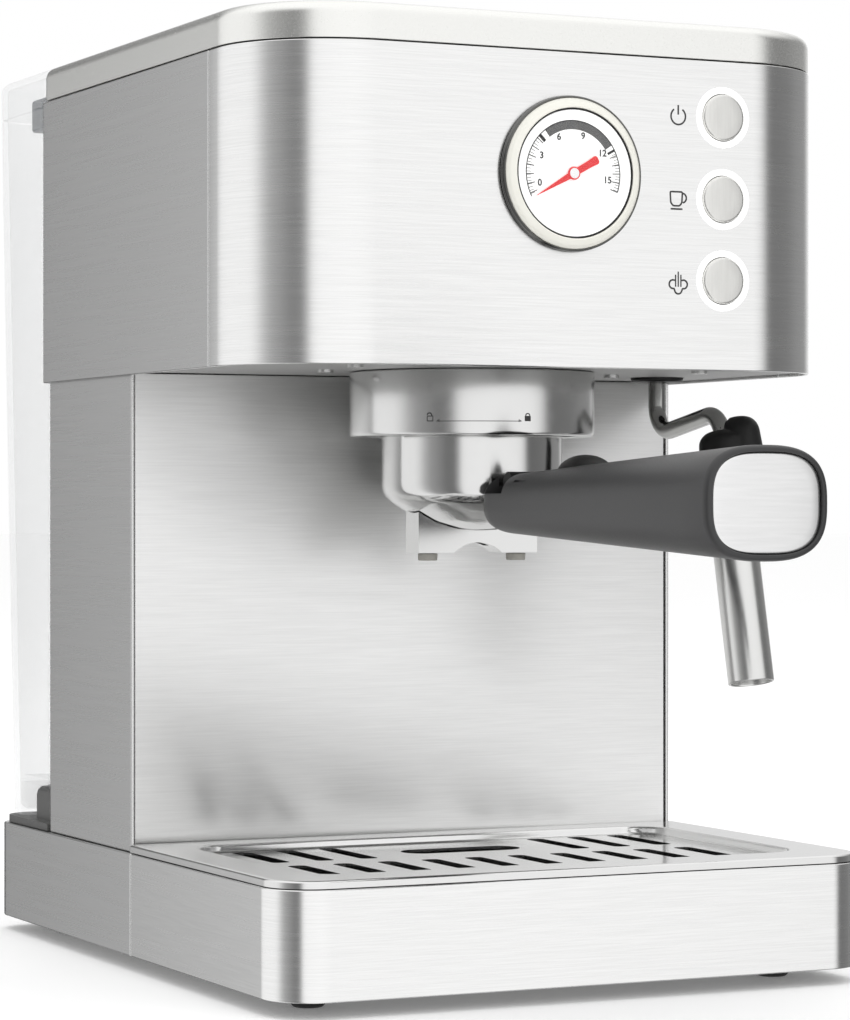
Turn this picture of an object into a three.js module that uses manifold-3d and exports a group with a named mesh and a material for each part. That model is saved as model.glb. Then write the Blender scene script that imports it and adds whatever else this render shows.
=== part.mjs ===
// A home espresso machine as an assembly: steel-clad base, column and head, a pressure gauge with three
// buttons, a bayonet group with its portafilter, a swivelling steam wand, a drip tray and a rear water tank.
//
// Units are millimetres. The machine is drawn with X = 0 on its middle plane, Y = 0 on the front face of the
// head, +Y to the rear, and Z = 0 on the worktop. The exported group is shifted so that its origin is the
// centre of the whole machine's footprint.
import * as THREE from "three";
import { mergeVertices } from "three/addons/utils/BufferGeometryUtils.js";
import Module from "manifold-3d";

const wasm = await Module();
wasm.setup();

// ---------------------------------------------------------------- driving dimensions
const HALF_WIDTH = 102.5; // the head and the base
const SHEET = 1.2; // steel cladding
const WALL = 2.0; // moulded walls
const GAP = 0.3; // between neighbouring pieces

const FOOT = { height: 5, radius: 5.4, x: 81.6, front: 15, rear: 218 };
const BASE = { front: -13.9, rear: 250, bottom: FOOT.height, top: 38.3, cornerFront: 16, cornerRear: 12 };
const SEAM = { base: 111.8, head: 43.8, width: 0.6 }; // where front cladding meets the side panels
const HEAD = { front: 0, rear: 200, bottom: 194.2, top: 291.7, cornerFront: 37, cornerRear: 3 };
const COVER = { top: 303.6, fillet: 4 };
const COLUMN = { front: 117, rear: 198.4, halfWidth: 100.5 };

const GRILLE = { top: 41, rim: 2.4, dish: 38.5 };
const DISH = { halfWidth: 86, front: 4, rear: 103, corner: 12 };
const SLOT = { count: 10, pitch: 15.4, width: 6.2, front: [23.5, 53.5], rear: [63.5, 100], rearEach: 3 };
const FINGER_HOLE = { y: 77, halfLength: 21, radius: 7 };

const GAUGE = { z: 254, radius: 24.2, window: 19.7, needle: 15, tail: 9.5 };
const BUTTON = { x: 54.5, z: [222.5, 248.2, 274], radius: 7.25, ring: 9.3, proud: 1.2 };

const GROUP = { y: 68.5, collarRadius: 40, collarBottom: 174, collarBore: 34.6 };
const BOWL = { radius: 29.6, rim: 182.4, shoulder: 156.7, bottom: 143.5 };
const SPOUT = { halfWidth: 21.5, halfDepth: 4.75, bottom: 136.3, nozzleX: 16, nozzleRadius: 3.3 };
const HANDLE = { z: 152.2, root: 37.5, end: -116, rootHalf: [13.4, 9.2], endHalf: [20.1, 16.3] };

const WAND = { x: 79.4, y: 86.9, radius: 2.9, kneeY: 44.5, kneeZ: 182.7, lean: 0.225, sleeveRadius: 7.5 };
const SLEEVE_LENGTH = 91; // from the knee to the sleeve's end
const KNOB = { y: 87, z: 243, radius: 16, length: 15 };

const TANK = { halfWidth: 100, front: 201, rearBottom: 246, rearTop: 260.5, bottom: 41.3, top: 291 };
const TANK_WALL = 2.2;
const DECK_TOP = 40.9;
const TANK_LID_TOP = 304.6;
const COUPLING_BLOCK = { halfWidth: 97, front: 201, rear: 227, top: 52.5 };
const LID_HINGE = { y: 263.9, z: 290.6, radius: 3, pin: 1.5, halfSpan: 36, halfKnuckle: 28 };

// The footprint runs from the handle's end cap to the tank's hinge, and from the left panel to the knob.
const FOOTPRINT = {
  left: -HALF_WIDTH,
  right: HALF_WIDTH + GAP + KNOB.length,
  front: HANDLE.end - 2.4,
  rear: LID_HINGE.y + LID_HINGE.radius,
};

// ---------------------------------------------------------------- materials
const material = (color, roughness, metalness, extra = {}) =>
  new THREE.MeshStandardMaterial({ color, roughness, metalness, ...extra });

const MATERIALS = {
  brushedSteel: material(0xd9d9d9, 0.32, 1),
  sidePanel: material(0xa3a3a3, 0.45, 0.8),
  coverPaint: material(0xd8d9d2, 0.38, 0.5),
  castSilver: material(0xc4c4c4, 0.3, 0.9),
  chrome: material(0xe8e8e8, 0.1, 1),
  polishedSteel: material(0xcfcfcf, 0.18, 1),
  handlePlastic: material(0x4a4a4a, 0.5, 0),
  blackPlastic: material(0x1b1b1c, 0.45, 0),
  rubber: material(0x151515, 0.85, 0),
  dialWhite: material(0xf6f6f4, 0.6, 0),
  needleRed: material(0xd92b2e, 0.4, 0),
  glass: material(0xffffff, 0.03, 0, { transparent: true, opacity: 0.25 }),
  lightRing: material(0xffffff, 0.3, 0),
  clearPlastic: material(0xf2f5f6, 0.06, 0, { transparent: true, opacity: 0.35 }),
  smokedPlastic: material(0x4b5259, 0.25, 0),
  greyPlastic: material(0x8d8d8b, 0.5, 0),
  aluminium: material(0xb9bbbd, 0.4, 1),
  brass: material(0xb08d4a, 0.35, 1),
  circuitBoard: material(0x2d5a3a, 0.6, 0),
  siliconeHose: material(0xdedcd4, 0.5, 0),
  grommet: material(0x9a968f, 0.6, 0),
};

// ---------------------------------------------------------------- solid modelling helpers
const FAR = 500; // beyond every edge of the machine

function solid(geometry) {
  const loose = geometry.index ? geometry.toNonIndexed() : geometry;
  const bare = new THREE.BufferGeometry().setAttribute("position", loose.getAttribute("position"));
  const merged = mergeVertices(bare, 1e-4);
  const vertProperties = merged.attributes.position.array;
  const triVerts = new Uint32Array(merged.index.array);
  const made = new wasm.Manifold(new wasm.Mesh({ numProp: 3, vertProperties, triVerts }));
  if (made.volume() > 0) return made;
  for (let i = 0; i < triVerts.length; i += 3) {
    [triVerts[i + 1], triVerts[i + 2]] = [triVerts[i + 2], triVerts[i + 1]];
  }
  return new wasm.Manifold(new wasm.Mesh({ numProp: 3, vertProperties, triVerts }));
}

function geometryOf(made) {
  const mesh = made.getMesh();
  return new THREE.BufferGeometry()
    .setAttribute("position", new THREE.BufferAttribute(new Float32Array(mesh.vertProperties), 3))
    .setIndex(new THREE.BufferAttribute(new Uint32Array(mesh.triVerts), 1));
}

const join = (...solids) => solids.reduce((a, b) => a.add(b));
const cut = (body, ...tools) => tools.reduce((a, b) => a.subtract(b), body);

// A box between two corners.
function box([x0, y0, z0], [x1, y1, z1]) {
  const geometry = new THREE.BoxGeometry(x1 - x0, y1 - y0, z1 - z0);
  return solid(geometry.translate((x0 + x1) / 2, (y0 + y1) / 2, (z0 + z1) / 2));
}

// A cylinder or cone frustum from one end of an axis to the other.
function rod(axis, radius, [x, y, z], length, sides = 24, endRadius = radius) {
  const geometry = new THREE.CylinderGeometry(endRadius, radius, length, sides);
  geometry.translate(0, length / 2, 0);
  if (axis === "x") geometry.rotateZ(-Math.PI / 2);
  if (axis === "z") geometry.rotateX(Math.PI / 2);
  return solid(geometry.translate(x, y, z));
}

// A round body turned about a vertical line, from [radius, height] points.
function turned(profile, [x, y], sides = 32) {
  const points = profile.map(([r, h]) => new THREE.Vector2(r, h));
  return solid(new THREE.LatheGeometry(points, sides).rotateX(Math.PI / 2).translate(x, y, 0));
}

// The same about a line along Y, from [radius, y] points.
function turnedAboutY(profile, [x, z], sides = 32) {
  const points = profile.map(([r, y]) => new THREE.Vector2(r, y));
  return solid(new THREE.LatheGeometry(points, sides).translate(x, 0, z));
}

// A plan outline with its own front and rear corner radii.
function plan(halfWidth, front, rear, cornerFront, cornerRear) {
  const shape = new THREE.Shape();
  shape.moveTo(-halfWidth + cornerFront, front);
  shape.lineTo(halfWidth - cornerFront, front);
  shape.absarc(halfWidth - cornerFront, front + cornerFront, cornerFront, -Math.PI / 2, 0);
  shape.lineTo(halfWidth, rear - cornerRear);
  shape.absarc(halfWidth - cornerRear, rear - cornerRear, cornerRear, 0, Math.PI / 2);
  shape.lineTo(-halfWidth + cornerRear, rear);
  shape.absarc(-halfWidth + cornerRear, rear - cornerRear, cornerRear, Math.PI / 2, Math.PI);
  shape.lineTo(-halfWidth, front + cornerFront);
  shape.absarc(-halfWidth + cornerFront, front + cornerFront, cornerFront, Math.PI, 1.5 * Math.PI);
  return shape;
}

function slab(shape, z0, z1, curveSegments = 7) {
  const geometry = new THREE.ExtrudeGeometry(shape, { depth: z1 - z0, bevelEnabled: false, curveSegments });
  return solid(geometry.translate(0, 0, z0));
}

// A slab whose top edge is rounded over: drawn with both edges rounded, then cut level at the bottom.
function crownedSlab(shapeAt, z0, z1, fillet, segments = 3) {
  const depth = z1 - z0;
  const settings = {
    depth, bevelThickness: fillet, bevelSize: fillet, bevelSegments: segments, curveSegments: 7,
  };
  const geometry = new THREE.ExtrudeGeometry(shapeAt(fillet), settings).translate(0, 0, z0 - fillet);
  return solid(geometry).intersect(box([-FAR, -FAR, z0], [FAR, FAR, z1]));
}

// The outline of a box-like housing, a given distance inside its outer skin.
function inward({ front, rear, cornerFront, cornerRear }, inset) {
  const rearRadius = Math.max(cornerRear - inset, 0.8);
  return plan(HALF_WIDTH - inset, front + inset, rear - inset, cornerFront - inset, rearRadius);
}
const basePlan = (inset) => inward(BASE, inset);
const headPlan = (inset) => inward(HEAD, inset);

const infront = (y) => box([-FAR, -FAR, -FAR], [FAR, y, FAR]);
const behind = (y) => box([-FAR, y, -FAR], [FAR, FAR, FAR]);

// A round bar along a path of straight runs with rounded corners.
function bentBar(points, bendRadius, radius, sides) {
  const path = new THREE.CurvePath();
  const corners = points.map((p) => new THREE.Vector3(...p));
  let from = corners[0];
  for (let i = 1; i < corners.length - 1; i += 1) {
    const before = corners[i].clone().add(corners[i - 1].clone().sub(corners[i]).setLength(bendRadius));
    const after = corners[i].clone().add(corners[i + 1].clone().sub(corners[i]).setLength(bendRadius));
    path.add(new THREE.LineCurve3(from, before));
    path.add(new THREE.QuadraticBezierCurve3(before, corners[i], after));
    from = after;
  }
  path.add(new THREE.LineCurve3(from, corners[corners.length - 1]));
  const section = new THREE.Shape().absarc(0, 0, radius, 0, 2 * Math.PI);
  const steps = 8 * (points.length - 1);
  return solid(new THREE.ExtrudeGeometry(section, { extrudePath: path, steps, curveSegments: sides }));
}

// A rounded-square section, given by its half sizes: exponent 2 is an ellipse, higher is squarer.
function superellipse(halfWidth, halfHeight, exponent, count = 28) {
  const power = 2 / exponent;
  const points = [];
  for (let i = 0; i < count; i += 1) {
    const t = (2 * Math.PI * i) / count;
    const c = Math.cos(t);
    const s = Math.sin(t);
    const x = halfWidth * Math.sign(c) * Math.abs(c) ** power;
    const y = halfHeight * Math.sign(s) * Math.abs(s) ** power;
    points.push(new THREE.Vector2(x, y));
  }
  return new THREE.Shape(points);
}

// ---------------------------------------------------------------- the assembly
const machine = new THREE.Group();
machine.position.set(-(FOOTPRINT.left + FOOTPRINT.right) / 2, -(FOOTPRINT.front + FOOTPRINT.rear) / 2, 0);

function place(name, made, look, group = machine) {
  const mesh = new THREE.Mesh(geometryOf(made), MATERIALS[look]);
  mesh.name = name;
  group.add(mesh);
}

// ---------------------------------------------------------------- base
function buildBase() {
  const panInset = SHEET + GAP;
  const wellInset = panInset + WALL;
  const wellRear = 112;
  const floor = BASE.bottom + WALL;
  const pan = slab(basePlan(panInset), BASE.bottom, BASE.top - GAP);
  const well = slab(basePlan(wellInset), floor, BASE.top + 1).intersect(infront(wellRear - WALL));
  const rearWell = slab(basePlan(wellInset), floor, BASE.top + 1).intersect(behind(wellRear + WALL));
  const glandBore = rod("y", 5.2, [-60, BASE.rear - 12, 22], 20);
  place("base_pan", cut(pan, well, rearWell, glandBore), "greyPlastic");

  const ring = cut(slab(basePlan(0), BASE.bottom, BASE.top), slab(basePlan(SHEET), 0, 100));
  place("base_front_wrap", ring.intersect(infront(SEAM.base - SEAM.width / 2)), "brushedSteel");
  const rearWrap = ring.intersect(behind(SEAM.base + SEAM.width / 2));
  place("base_rear_wrap", cut(rearWrap, glandBore), "sidePanel");

  // The deck closes the rear of the base and carries the raised block that the tank couples to.
  const deckPlan = basePlan(panInset + GAP);
  const deck = slab(deckPlan, BASE.top, DECK_TOP).intersect(behind(COLUMN.rear + GAP));
  const { halfWidth, front, rear, top } = COUPLING_BLOCK;
  const block = crownedSlab(
    (inset) => plan(halfWidth - inset, front + inset, rear - inset, 1, 5),
    BASE.top + 1,
    top,
    3,
  );
  const socket = rod("z", 9, [0, 214, 30], 40);
  const hollow = box([-90, front + 3, 0], [90, rear - 4, top - 3]);
  place("rear_deck", cut(join(deck, block), socket, hollow), "greyPlastic");

  const feet = { front_left: [-1, FOOT.front], front_right: [1, FOOT.front], rear_left: [-1, FOOT.rear] };
  feet.rear_right = [1, FOOT.rear];
  for (const [where, [side, y]] of Object.entries(feet)) {
    const { radius } = FOOT;
    const padTop = FOOT.height - GAP;
    const profile = [[0, 0], [radius - 0.8, 0], [radius, 0.8], [radius, padTop], [0, padTop]];
    const pad = turned(profile, [side * FOOT.x, y], 20);
    place(`foot_${where}`, pad, "rubber");
  }

  const glandProfile = [[0, 0], [8, 0], [8, 2], [4.9, 2], [4.9, 7], [0, 7]];
  const gland = solid(
    new THREE.LatheGeometry(glandProfile.map(([r, h]) => new THREE.Vector2(r, h)), 20)
      .rotateX(Math.PI)
      .translate(-60, BASE.rear + 2 + GAP, 22),
  );
  const bore = rod("y", 3.4, [-60, BASE.rear - 20, 22], 40, 16);
  place("cord_gland", cut(gland, bore), "blackPlastic");
}

// ---------------------------------------------------------------- drip tray and grille
function buildDripTray() {
  const rear = 109;
  const outer = slab(basePlan(4.2), 8, GRILLE.top - GRILLE.rim - GAP).intersect(infront(rear));
  const inner = slab(basePlan(4.2 + WALL), 8 + WALL, 60).intersect(infront(rear - WALL));
  place("drip_tray", cut(outer, inner), "greyPlastic");

  const { top, dish } = GRILLE;
  const dishPlan = (grow) =>
    plan(DISH.halfWidth + grow, DISH.front - grow, DISH.rear + grow, DISH.corner + grow, DISH.corner + grow);
  const rim = slab(basePlan(0.8), top - GRILLE.rim, top).intersect(infront(COLUMN.front - 1.2));
  const pressed = slab(dishPlan(1), dish - 1, top - 0.5);
  let grille = cut(join(rim, pressed), slab(dishPlan(0), dish, top + 1));
  const slot = (x, [front, back]) =>
    box([x - SLOT.width / 2, front, dish - 5], [x + SLOT.width / 2, back, dish + 5]);
  const first = (-SLOT.pitch * (SLOT.count - 1)) / 2;
  for (let i = 0; i < SLOT.count; i += 1) {
    const x = first + i * SLOT.pitch;
    grille = grille.subtract(slot(x, SLOT.front));
    if (Math.min(i, SLOT.count - 1 - i) < SLOT.rearEach) grille = grille.subtract(slot(x, SLOT.rear));
  }
  const { y, halfLength, radius } = FINGER_HOLE;
  const fingerPlan = plan(halfLength, y - radius, y + radius, radius - 0.01, radius - 0.01);
  grille = grille.subtract(slab(fingerPlan, dish - 5, dish + 5, 6));
  place("drip_grille", grille, "brushedSteel");
}

// ---------------------------------------------------------------- column
function buildColumn() {
  const foot = BASE.top + GAP;
  const top = HEAD.bottom + 0.7;
  const inside = COLUMN.halfWidth - SHEET - GAP;
  const splash = box([-inside, COLUMN.front, foot], [inside, COLUMN.front + SHEET, top]);
  place("splash_plate", splash, "brushedSteel");

  const columnPlan = (inset) =>
    plan(COLUMN.halfWidth - inset, COLUMN.front - 30, COLUMN.rear - inset, 1, 3 - inset);
  const walls = cut(slab(columnPlan(0), foot, top, 3), slab(columnPlan(SHEET), 0, FAR, 3));
  const shell = walls.intersect(behind(COLUMN.front - 0.8));
  place("column_shell", shell, "sidePanel");

  // The moulded spine that carries the head, the pump and the board.
  const plate = box([-88, 190, foot], [88, 193, HEAD.top - 6]);
  const ribs = [-60, 60].map((x) => box([x - 1.5, 172, foot], [x + 1.5, 191, HEAD.top - 6]));
  const shelf = box([-60, 130, 92], [60, 191, 95]);
  const windows = [-30, 30].map((x) => box([x - 18, 180, 120], [x + 18, 200, 175]));
  const hoseHole = rod("z", 4.5, [0, 157, 90], 10, 12);
  place("inner_frame", cut(join(plate, ...ribs, shelf), ...windows, hoseHole), "greyPlastic");
}

// ---------------------------------------------------------------- head
function buildHead() {
  const ring = cut(slab(headPlan(0), HEAD.bottom, HEAD.top), slab(headPlan(SHEET), 0, FAR));
  const holes = BUTTON.z.map((z) => rod("y", BUTTON.ring + GAP, [BUTTON.x, -5, z], 12, 28));
  const gaugeHole = rod("y", 21.6, [0, -5, GAUGE.z], 12, 32);
  const wrap = ring.intersect(infront(SEAM.head - SEAM.width / 2));
  place("head_front_wrap", cut(wrap, gaugeHole, ...holes), "brushedSteel");

  const shell = ring.intersect(behind(SEAM.head + SEAM.width / 2));
  const knobHole = rod("x", 5, [HALF_WIDTH - 8, KNOB.y, KNOB.z], 16, 20);
  place("head_rear_shell", cut(shell, knobHole), "sidePanel");

  // The underside is set up into the cladding, with openings for the group, the wand and the column.
  const underside = HEAD.bottom + 1;
  const floor = slab(headPlan(SHEET + GAP), underside, underside + WALL);
  const groupHole = rod("z", 36, [0, GROUP.y, 150], 100, 40);
  const wandHole = rod("z", 9.4, [WAND.x, WAND.y, 150], 100, 24);
  const shaft = box([-92, COLUMN.front + 6, 150], [92, HEAD.rear - 4, 250]);
  const pocket = box([-FAR, COLUMN.front - 1.2, 150], [FAR, FAR, underside + GAP]);
  place("head_floor", cut(floor, groupHole, wandHole, shaft, pocket), "greyPlastic");

  // The top cover is a rounded-over cap with a recess for the cup plate.
  const seat = HEAD.top + 0.4;
  const crown = crownedSlab((inset) => headPlan(inset + 0.2), seat, COVER.top, COVER.fillet);
  const cavity = slab(headPlan(WALL + 4), seat - 1, COVER.top - 4);
  const recess = slab(plan(84, 24, 176, 10, 10), COVER.top - 1.6, COVER.top + 5, 5);
  place("top_cover", cut(crown, cavity, recess), "coverPaint");

  let plate = slab(plan(83.6, 24.4, 175.6, 9.6, 9.6), COVER.top - 1.3, COVER.top - 0.3, 5);
  for (let i = 0; i < 7; i += 1) {
    const x = (i - 3) * 22;
    plate = plate.subtract(box([x - 1.5, 55, 0], [x + 1.5, 145, FAR]));
  }
  place("cup_plate", plate, "brushedSteel");
}

// ---------------------------------------------------------------- gauge and buttons
const needleShape = () => {
  // Drawn pointing along +X: a fine tip, a narrow waist at the hub and a blunt tail.
  const shape = new THREE.Shape();
  shape.moveTo(GAUGE.needle, 0);
  shape.lineTo(1.6, 0.75);
  shape.lineTo(-1.6, 0.7);
  shape.lineTo(-GAUGE.tail + 1.3, 1.3);
  shape.absarc(-GAUGE.tail + 1.3, 0, 1.3, Math.PI / 2, 1.5 * Math.PI);
  shape.lineTo(-1.6, -0.7);
  shape.lineTo(1.6, -0.75);
  return shape;
};

function buildGauge() {
  const centre = [0, GAUGE.z];
  const { radius, window } = GAUGE;
  const bezel = [
    [window, -4.2], [window + 0.9, -5], [window + 2.2, -4.6], [radius - 0.5, -2.4], [radius, -0.4],
    [21.2, -0.4], [21.2, 3.2], [window, 3.2], [window, -4.2],
  ];
  place("gauge_bezel", turnedAboutY(bezel, centre, 40), "chrome");
  const body = [[0, 22], [19, 22], [19, -1.7], [0, -1.7], [0, 22]];
  place("gauge_body", turnedAboutY(body, centre, 32), "dialWhite");
  const lens = [[0, -4.1], [window - GAP, -4.1], [window - GAP, -3.6], [0, -3.6], [0, -4.1]];
  place("gauge_lens", turnedAboutY(lens, centre, 32), "glass");

  // The needle rests on the scale's lower left end. It is drawn flat, stood up and turned about its pivot.
  const restAngle = THREE.MathUtils.degToRad(207.8);
  const thin = { depth: 0.4, bevelEnabled: false, curveSegments: 6 };
  const blade = new THREE.ExtrudeGeometry(needleShape(), thin);
  blade.rotateZ(restAngle).rotateX(Math.PI / 2).translate(0, -2.4, GAUGE.z);
  const hub = rod("y", 1.9, [0, -3.2, GAUGE.z], 1.1, 16);
  place("gauge_needle", join(solid(blade), hub), "needleRed");
}

function buildButtons() {
  const names = ["steam", "brew", "power"];
  BUTTON.z.forEach((z, i) => {
    const cap = [
      [0, -BUTTON.proud], [BUTTON.radius - 0.5, -BUTTON.proud], [BUTTON.radius, -BUTTON.proud + 0.5],
      [BUTTON.radius, 5], [0, 5], [0, -BUTTON.proud],
    ];
    place(`button_${names[i]}`, turnedAboutY(cap, [BUTTON.x, z], 28), "polishedSteel");
    const inner = BUTTON.radius + GAP;
    const ring = [
      [inner, -0.6], [BUTTON.ring - 0.4, -0.6], [BUTTON.ring, -0.2], [BUTTON.ring, 4], [inner, 4],
      [inner, -0.6],
    ];
    place(`light_ring_${names[i]}`, turnedAboutY(ring, [BUTTON.x, z], 28), "lightRing");
  });
  const board = box([42, 11, 212], [67, 12.6, 284]);
  const switches = BUTTON.z.map((z) => box([BUTTON.x - 3, 7.4, z - 3], [BUTTON.x + 3, 11.2, z + 3]));
  place("switch_board", join(board, ...switches), "circuitBoard");
}

// ---------------------------------------------------------------- group
const GATE = { centre: -45, halfWidth: 24 }; // degrees: where the portafilter's lugs enter, and half the gap
const LUG = { halfAngle: 17, bottom: 178.4, radius: 34 };

// A pie slice of a flat ring about the group's axis.
function ringSector(inner, outer, z0, z1, fromDegrees, toDegrees) {
  const [from, to] = [fromDegrees, toDegrees].map(THREE.MathUtils.degToRad);
  const shape = new THREE.Shape();
  shape.absarc(0, 0, outer, from, to);
  shape.absarc(0, 0, inner, to, from, true);
  const upright = { depth: z1 - z0, bevelEnabled: false, curveSegments: 8 };
  return solid(new THREE.ExtrudeGeometry(shape, upright).translate(0, GROUP.y, z0));
}

function buildGroup() {
  const axis = [0, GROUP.y];
  const { collarRadius, collarBottom, collarBore } = GROUP;
  const top = HEAD.bottom + 0.7;
  const collar = turned(
    [
      [collarBore, collarBottom], [collarRadius - 0.8, collarBottom], [collarRadius, collarBottom + 0.8],
      [collarRadius, top], [collarBore, top], [collarBore, collarBottom],
    ],
    axis,
    48,
  );
  // Two inward ramps hold the portafilter's lugs up; the gaps between them let the lugs in.
  const ramps = [0, 180].map((turn) =>
    ringSector(
      31.3, collarBore + 1, collarBottom + 0.8, collarBottom + 4,
      turn + GATE.centre + GATE.halfWidth, turn + GATE.centre + 180 - GATE.halfWidth,
    ),
  );
  place("group_collar", join(collar, ...ramps), "castSilver");

  const head = turned([[0, 187.8], [34.2, 187.8], [34.2, 205], [8, 205], [8, 207], [0, 207]], axis, 36);
  place("brew_head", head, "aluminium");
  const gasket = [[25.3, 184], [30.4, 184], [30.4, 187.5], [25.3, 187.5], [25.3, 184]];
  place("group_gasket", turned(gasket, axis, 32), "rubber");
  const screen = [
    [0, 182.6], [3, 182.6], [3, 183.4], [24.8, 183.4], [24.8, 187.5], [23.6, 187.5], [23.6, 184.4],
    [0, 184.4],
  ];
  place("shower_screen", turned(screen, axis, 32), "polishedSteel");
  place("thermoblock", join(
    box([-46, 34, 207.3], [46, 104, 234]),
    rod("z", 5, [30, 90, 233], 12, 12),
    rod("z", 5, [-30, 90, 233], 12, 12),
  ), "aluminium");
}

// ---------------------------------------------------------------- portafilter
function buildPortafilter() {
  const axis = [0, GROUP.y];
  const bowlWall = 1.8;
  const bowlProfile = [
    [0, BOWL.bottom], [8, BOWL.bottom + 0.6], [16, BOWL.bottom + 3], [22.2, 150], [26.6, 152.6],
    [BOWL.radius, BOWL.shoulder], [BOWL.radius, BOWL.rim],
    [BOWL.radius - bowlWall, BOWL.rim], [BOWL.radius - bowlWall, BOWL.shoulder + 1],
    [21, 152.6], [0, 150],
  ];
  const lugs = [0, 180].map((turn) =>
    ringSector(BOWL.radius - 1, LUG.radius, LUG.bottom, BOWL.rim, turn - LUG.halfAngle, turn + LUG.halfAngle),
  );
  const neck = box([-8, HANDLE.root + 0.6, HANDLE.z - 6], [8, GROUP.y - BOWL.radius + 2, HANDLE.z + 8]);
  const drain = rod("z", 5, [0, GROUP.y, 130], 40, 16);
  place("portafilter_bowl", cut(join(turned(bowlProfile, axis, 40), neck, ...lugs), drain), "chrome");

  const basket = [
    [0, 158], [22.5, 158], [26.4, 160.5], [26.4, 182.7], [30.2, 182.7], [30.2, 183.7], [25.6, 183.7],
    [25.6, 161], [22, 158.8], [0, 158.8],
  ];
  place("filter_basket", turned(basket, axis, 32), "polishedSteel");

  const { halfWidth, halfDepth, bottom, nozzleX, nozzleRadius } = SPOUT;
  const seat = turned([[0, BOWL.bottom - GAP], [8, BOWL.bottom + 0.3], [16, BOWL.bottom + 2.6],
    [22.2, 149.6], [28, 152], [40, 160], [40, 200], [0, 200]], axis, 40);
  const block = box([-halfWidth, GROUP.y - halfDepth, bottom], [halfWidth, GROUP.y + halfDepth, 151]);
  const arch = rod("y", 13, [0, GROUP.y - 20, bottom - 9.6], 40, 40);
  const nozzleBores = [-1, 1].map((side) =>
    rod("z", nozzleRadius - 1, [side * nozzleX, GROUP.y, 130], 12, 12),
  );
  const channel = box([-nozzleX, GROUP.y - 2, 138.6], [nozzleX, GROUP.y + 2, 141]);
  const inlet = rod("z", 3, [0, GROUP.y, 139], 10, 12);
  place("spout_block", cut(block, seat, arch, channel, inlet, ...nozzleBores), "chrome");
  for (const [where, side] of [["left", -1], ["right", 1]]) {
    const tip = turned(
      [
        [nozzleRadius - 1.1, 133.8], [nozzleRadius, 134.4], [nozzleRadius, bottom - GAP / 2],
        [nozzleRadius - 1.1, bottom - GAP / 2], [nozzleRadius - 1.1, 133.8],
      ],
      [side * nozzleX, GROUP.y],
      16,
    );
    place(`nozzle_tip_${where}`, tip, "grommet");
  }
}

// The handle's half sizes grow evenly from the bowl to the end cap.
function handleHalf(y) {
  const along = (HANDLE.root - y) / (HANDLE.root - HANDLE.end);
  const grow = Math.max(0, Math.min(1, along));
  return [0, 1].map((i) => HANDLE.rootHalf[i] + grow * (HANDLE.endHalf[i] - HANDLE.rootHalf[i]));
}

// A superellipse bar along Y, tapered to follow the handle. Sizes are shares of the handle's own.
function handleBar(front, rear, share, exponent, roundRoot = 0) {
  const geometry = new THREE.ExtrudeGeometry(superellipse(1, 1, exponent), {
    depth: rear - front,
    steps: roundRoot ? 12 : 1,
    bevelEnabled: false,
  });
  geometry.rotateX(Math.PI / 2).translate(0, rear, 0);
  const at = geometry.getAttribute("position");
  for (let i = 0; i < at.count; i += 1) {
    const y = at.getY(i);
    const [halfWidth, halfHeight] = handleHalf(y);
    const toRoot = Math.max(0, roundRoot - (rear - y)) / Math.max(roundRoot, 1e-6);
    const pinch = roundRoot ? 0.75 + 0.25 * Math.sqrt(1 - toRoot * toRoot) : 1;
    at.setX(i, at.getX(i) * halfWidth * share * pinch);
    at.setZ(i, HANDLE.z + at.getZ(i) * halfHeight * share * pinch);
  }
  return solid(geometry);
}

const CLIP = { pivotY: 27, pivotZ: 159.8, padFront: -23, halfWidth: 7 };

function buildHandle() {
  const { root, end, z } = HANDLE;
  const bore = rod("y", 4.3, [0, -60, z], 110, 16);
  const grooveHalf = CLIP.halfWidth + 0.5;
  const groove = box([-grooveHalf, CLIP.padFront - 1, z + 5.5], [grooveHalf, root + 5, z + 40]);
  // A window on each side lets the clip's barrel and prongs swing, in front of the wall at the root.
  const sideWindow = box([-20, 18, 154.4], [20, root - 3.6, z + 40]);
  const socket = handleBar(end - 1, end + 1.2, 0.93, 3);
  const grip = cut(handleBar(end, root, 1, 2.8, 9), bore, groove, sideWindow, socket);
  place("handle_grip", grip, "handlePlastic");

  const [capWidth, capHeight] = HANDLE.endHalf.map((half) => half * 0.9 - 1.4);
  const face = new THREE.ExtrudeGeometry(superellipse(capWidth, capHeight, 3), {
    depth: 1.2, bevelThickness: 1, bevelSize: 1.4, bevelSegments: 3,
  });
  face.rotateX(Math.PI / 2).translate(0, end + 0.8 - 1, z);
  place("handle_cap", solid(face), "brushedSteel");
  place("handle_rod", rod("y", 4, [0, -55, z], root + 55, 16), "polishedSteel");

  // The clip holds the basket in while the puck is knocked out: a lever that lies in the handle's groove.
  const { pivotY, pivotZ, padFront, halfWidth } = CLIP;
  const lever = box([-halfWidth, padFront + 4, z + 6], [halfWidth, pivotY, z + 9]);
  const padProfile = [[0, z + 7], [13, z + 7], [13, z + 11.4], [9, z + 14], [0, z + 15]];
  const pad = turned(padProfile, [0, padFront + 13], 28);
  const padTrim = box([-halfWidth, -60, 0], [halfWidth, 60, 300]);
  const barrel = rod("x", 3.2, [-halfWidth - 3, pivotY, pivotZ], 2 * (halfWidth + 3), 16);
  const prongs = [-1, 1].map((side) =>
    box([side > 0 ? 6.5 : -10, pivotY, pivotZ - 1.6], [side > 0 ? 10 : -6.5, pivotY + 6, pivotZ + 1.6]),
  );
  const clipBore = rod("x", 1.3, [-30, pivotY, pivotZ], 60, 12);
  place("basket_clip", cut(join(lever, pad.intersect(padTrim), barrel, ...prongs), clipBore), "blackPlastic");
}

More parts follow.
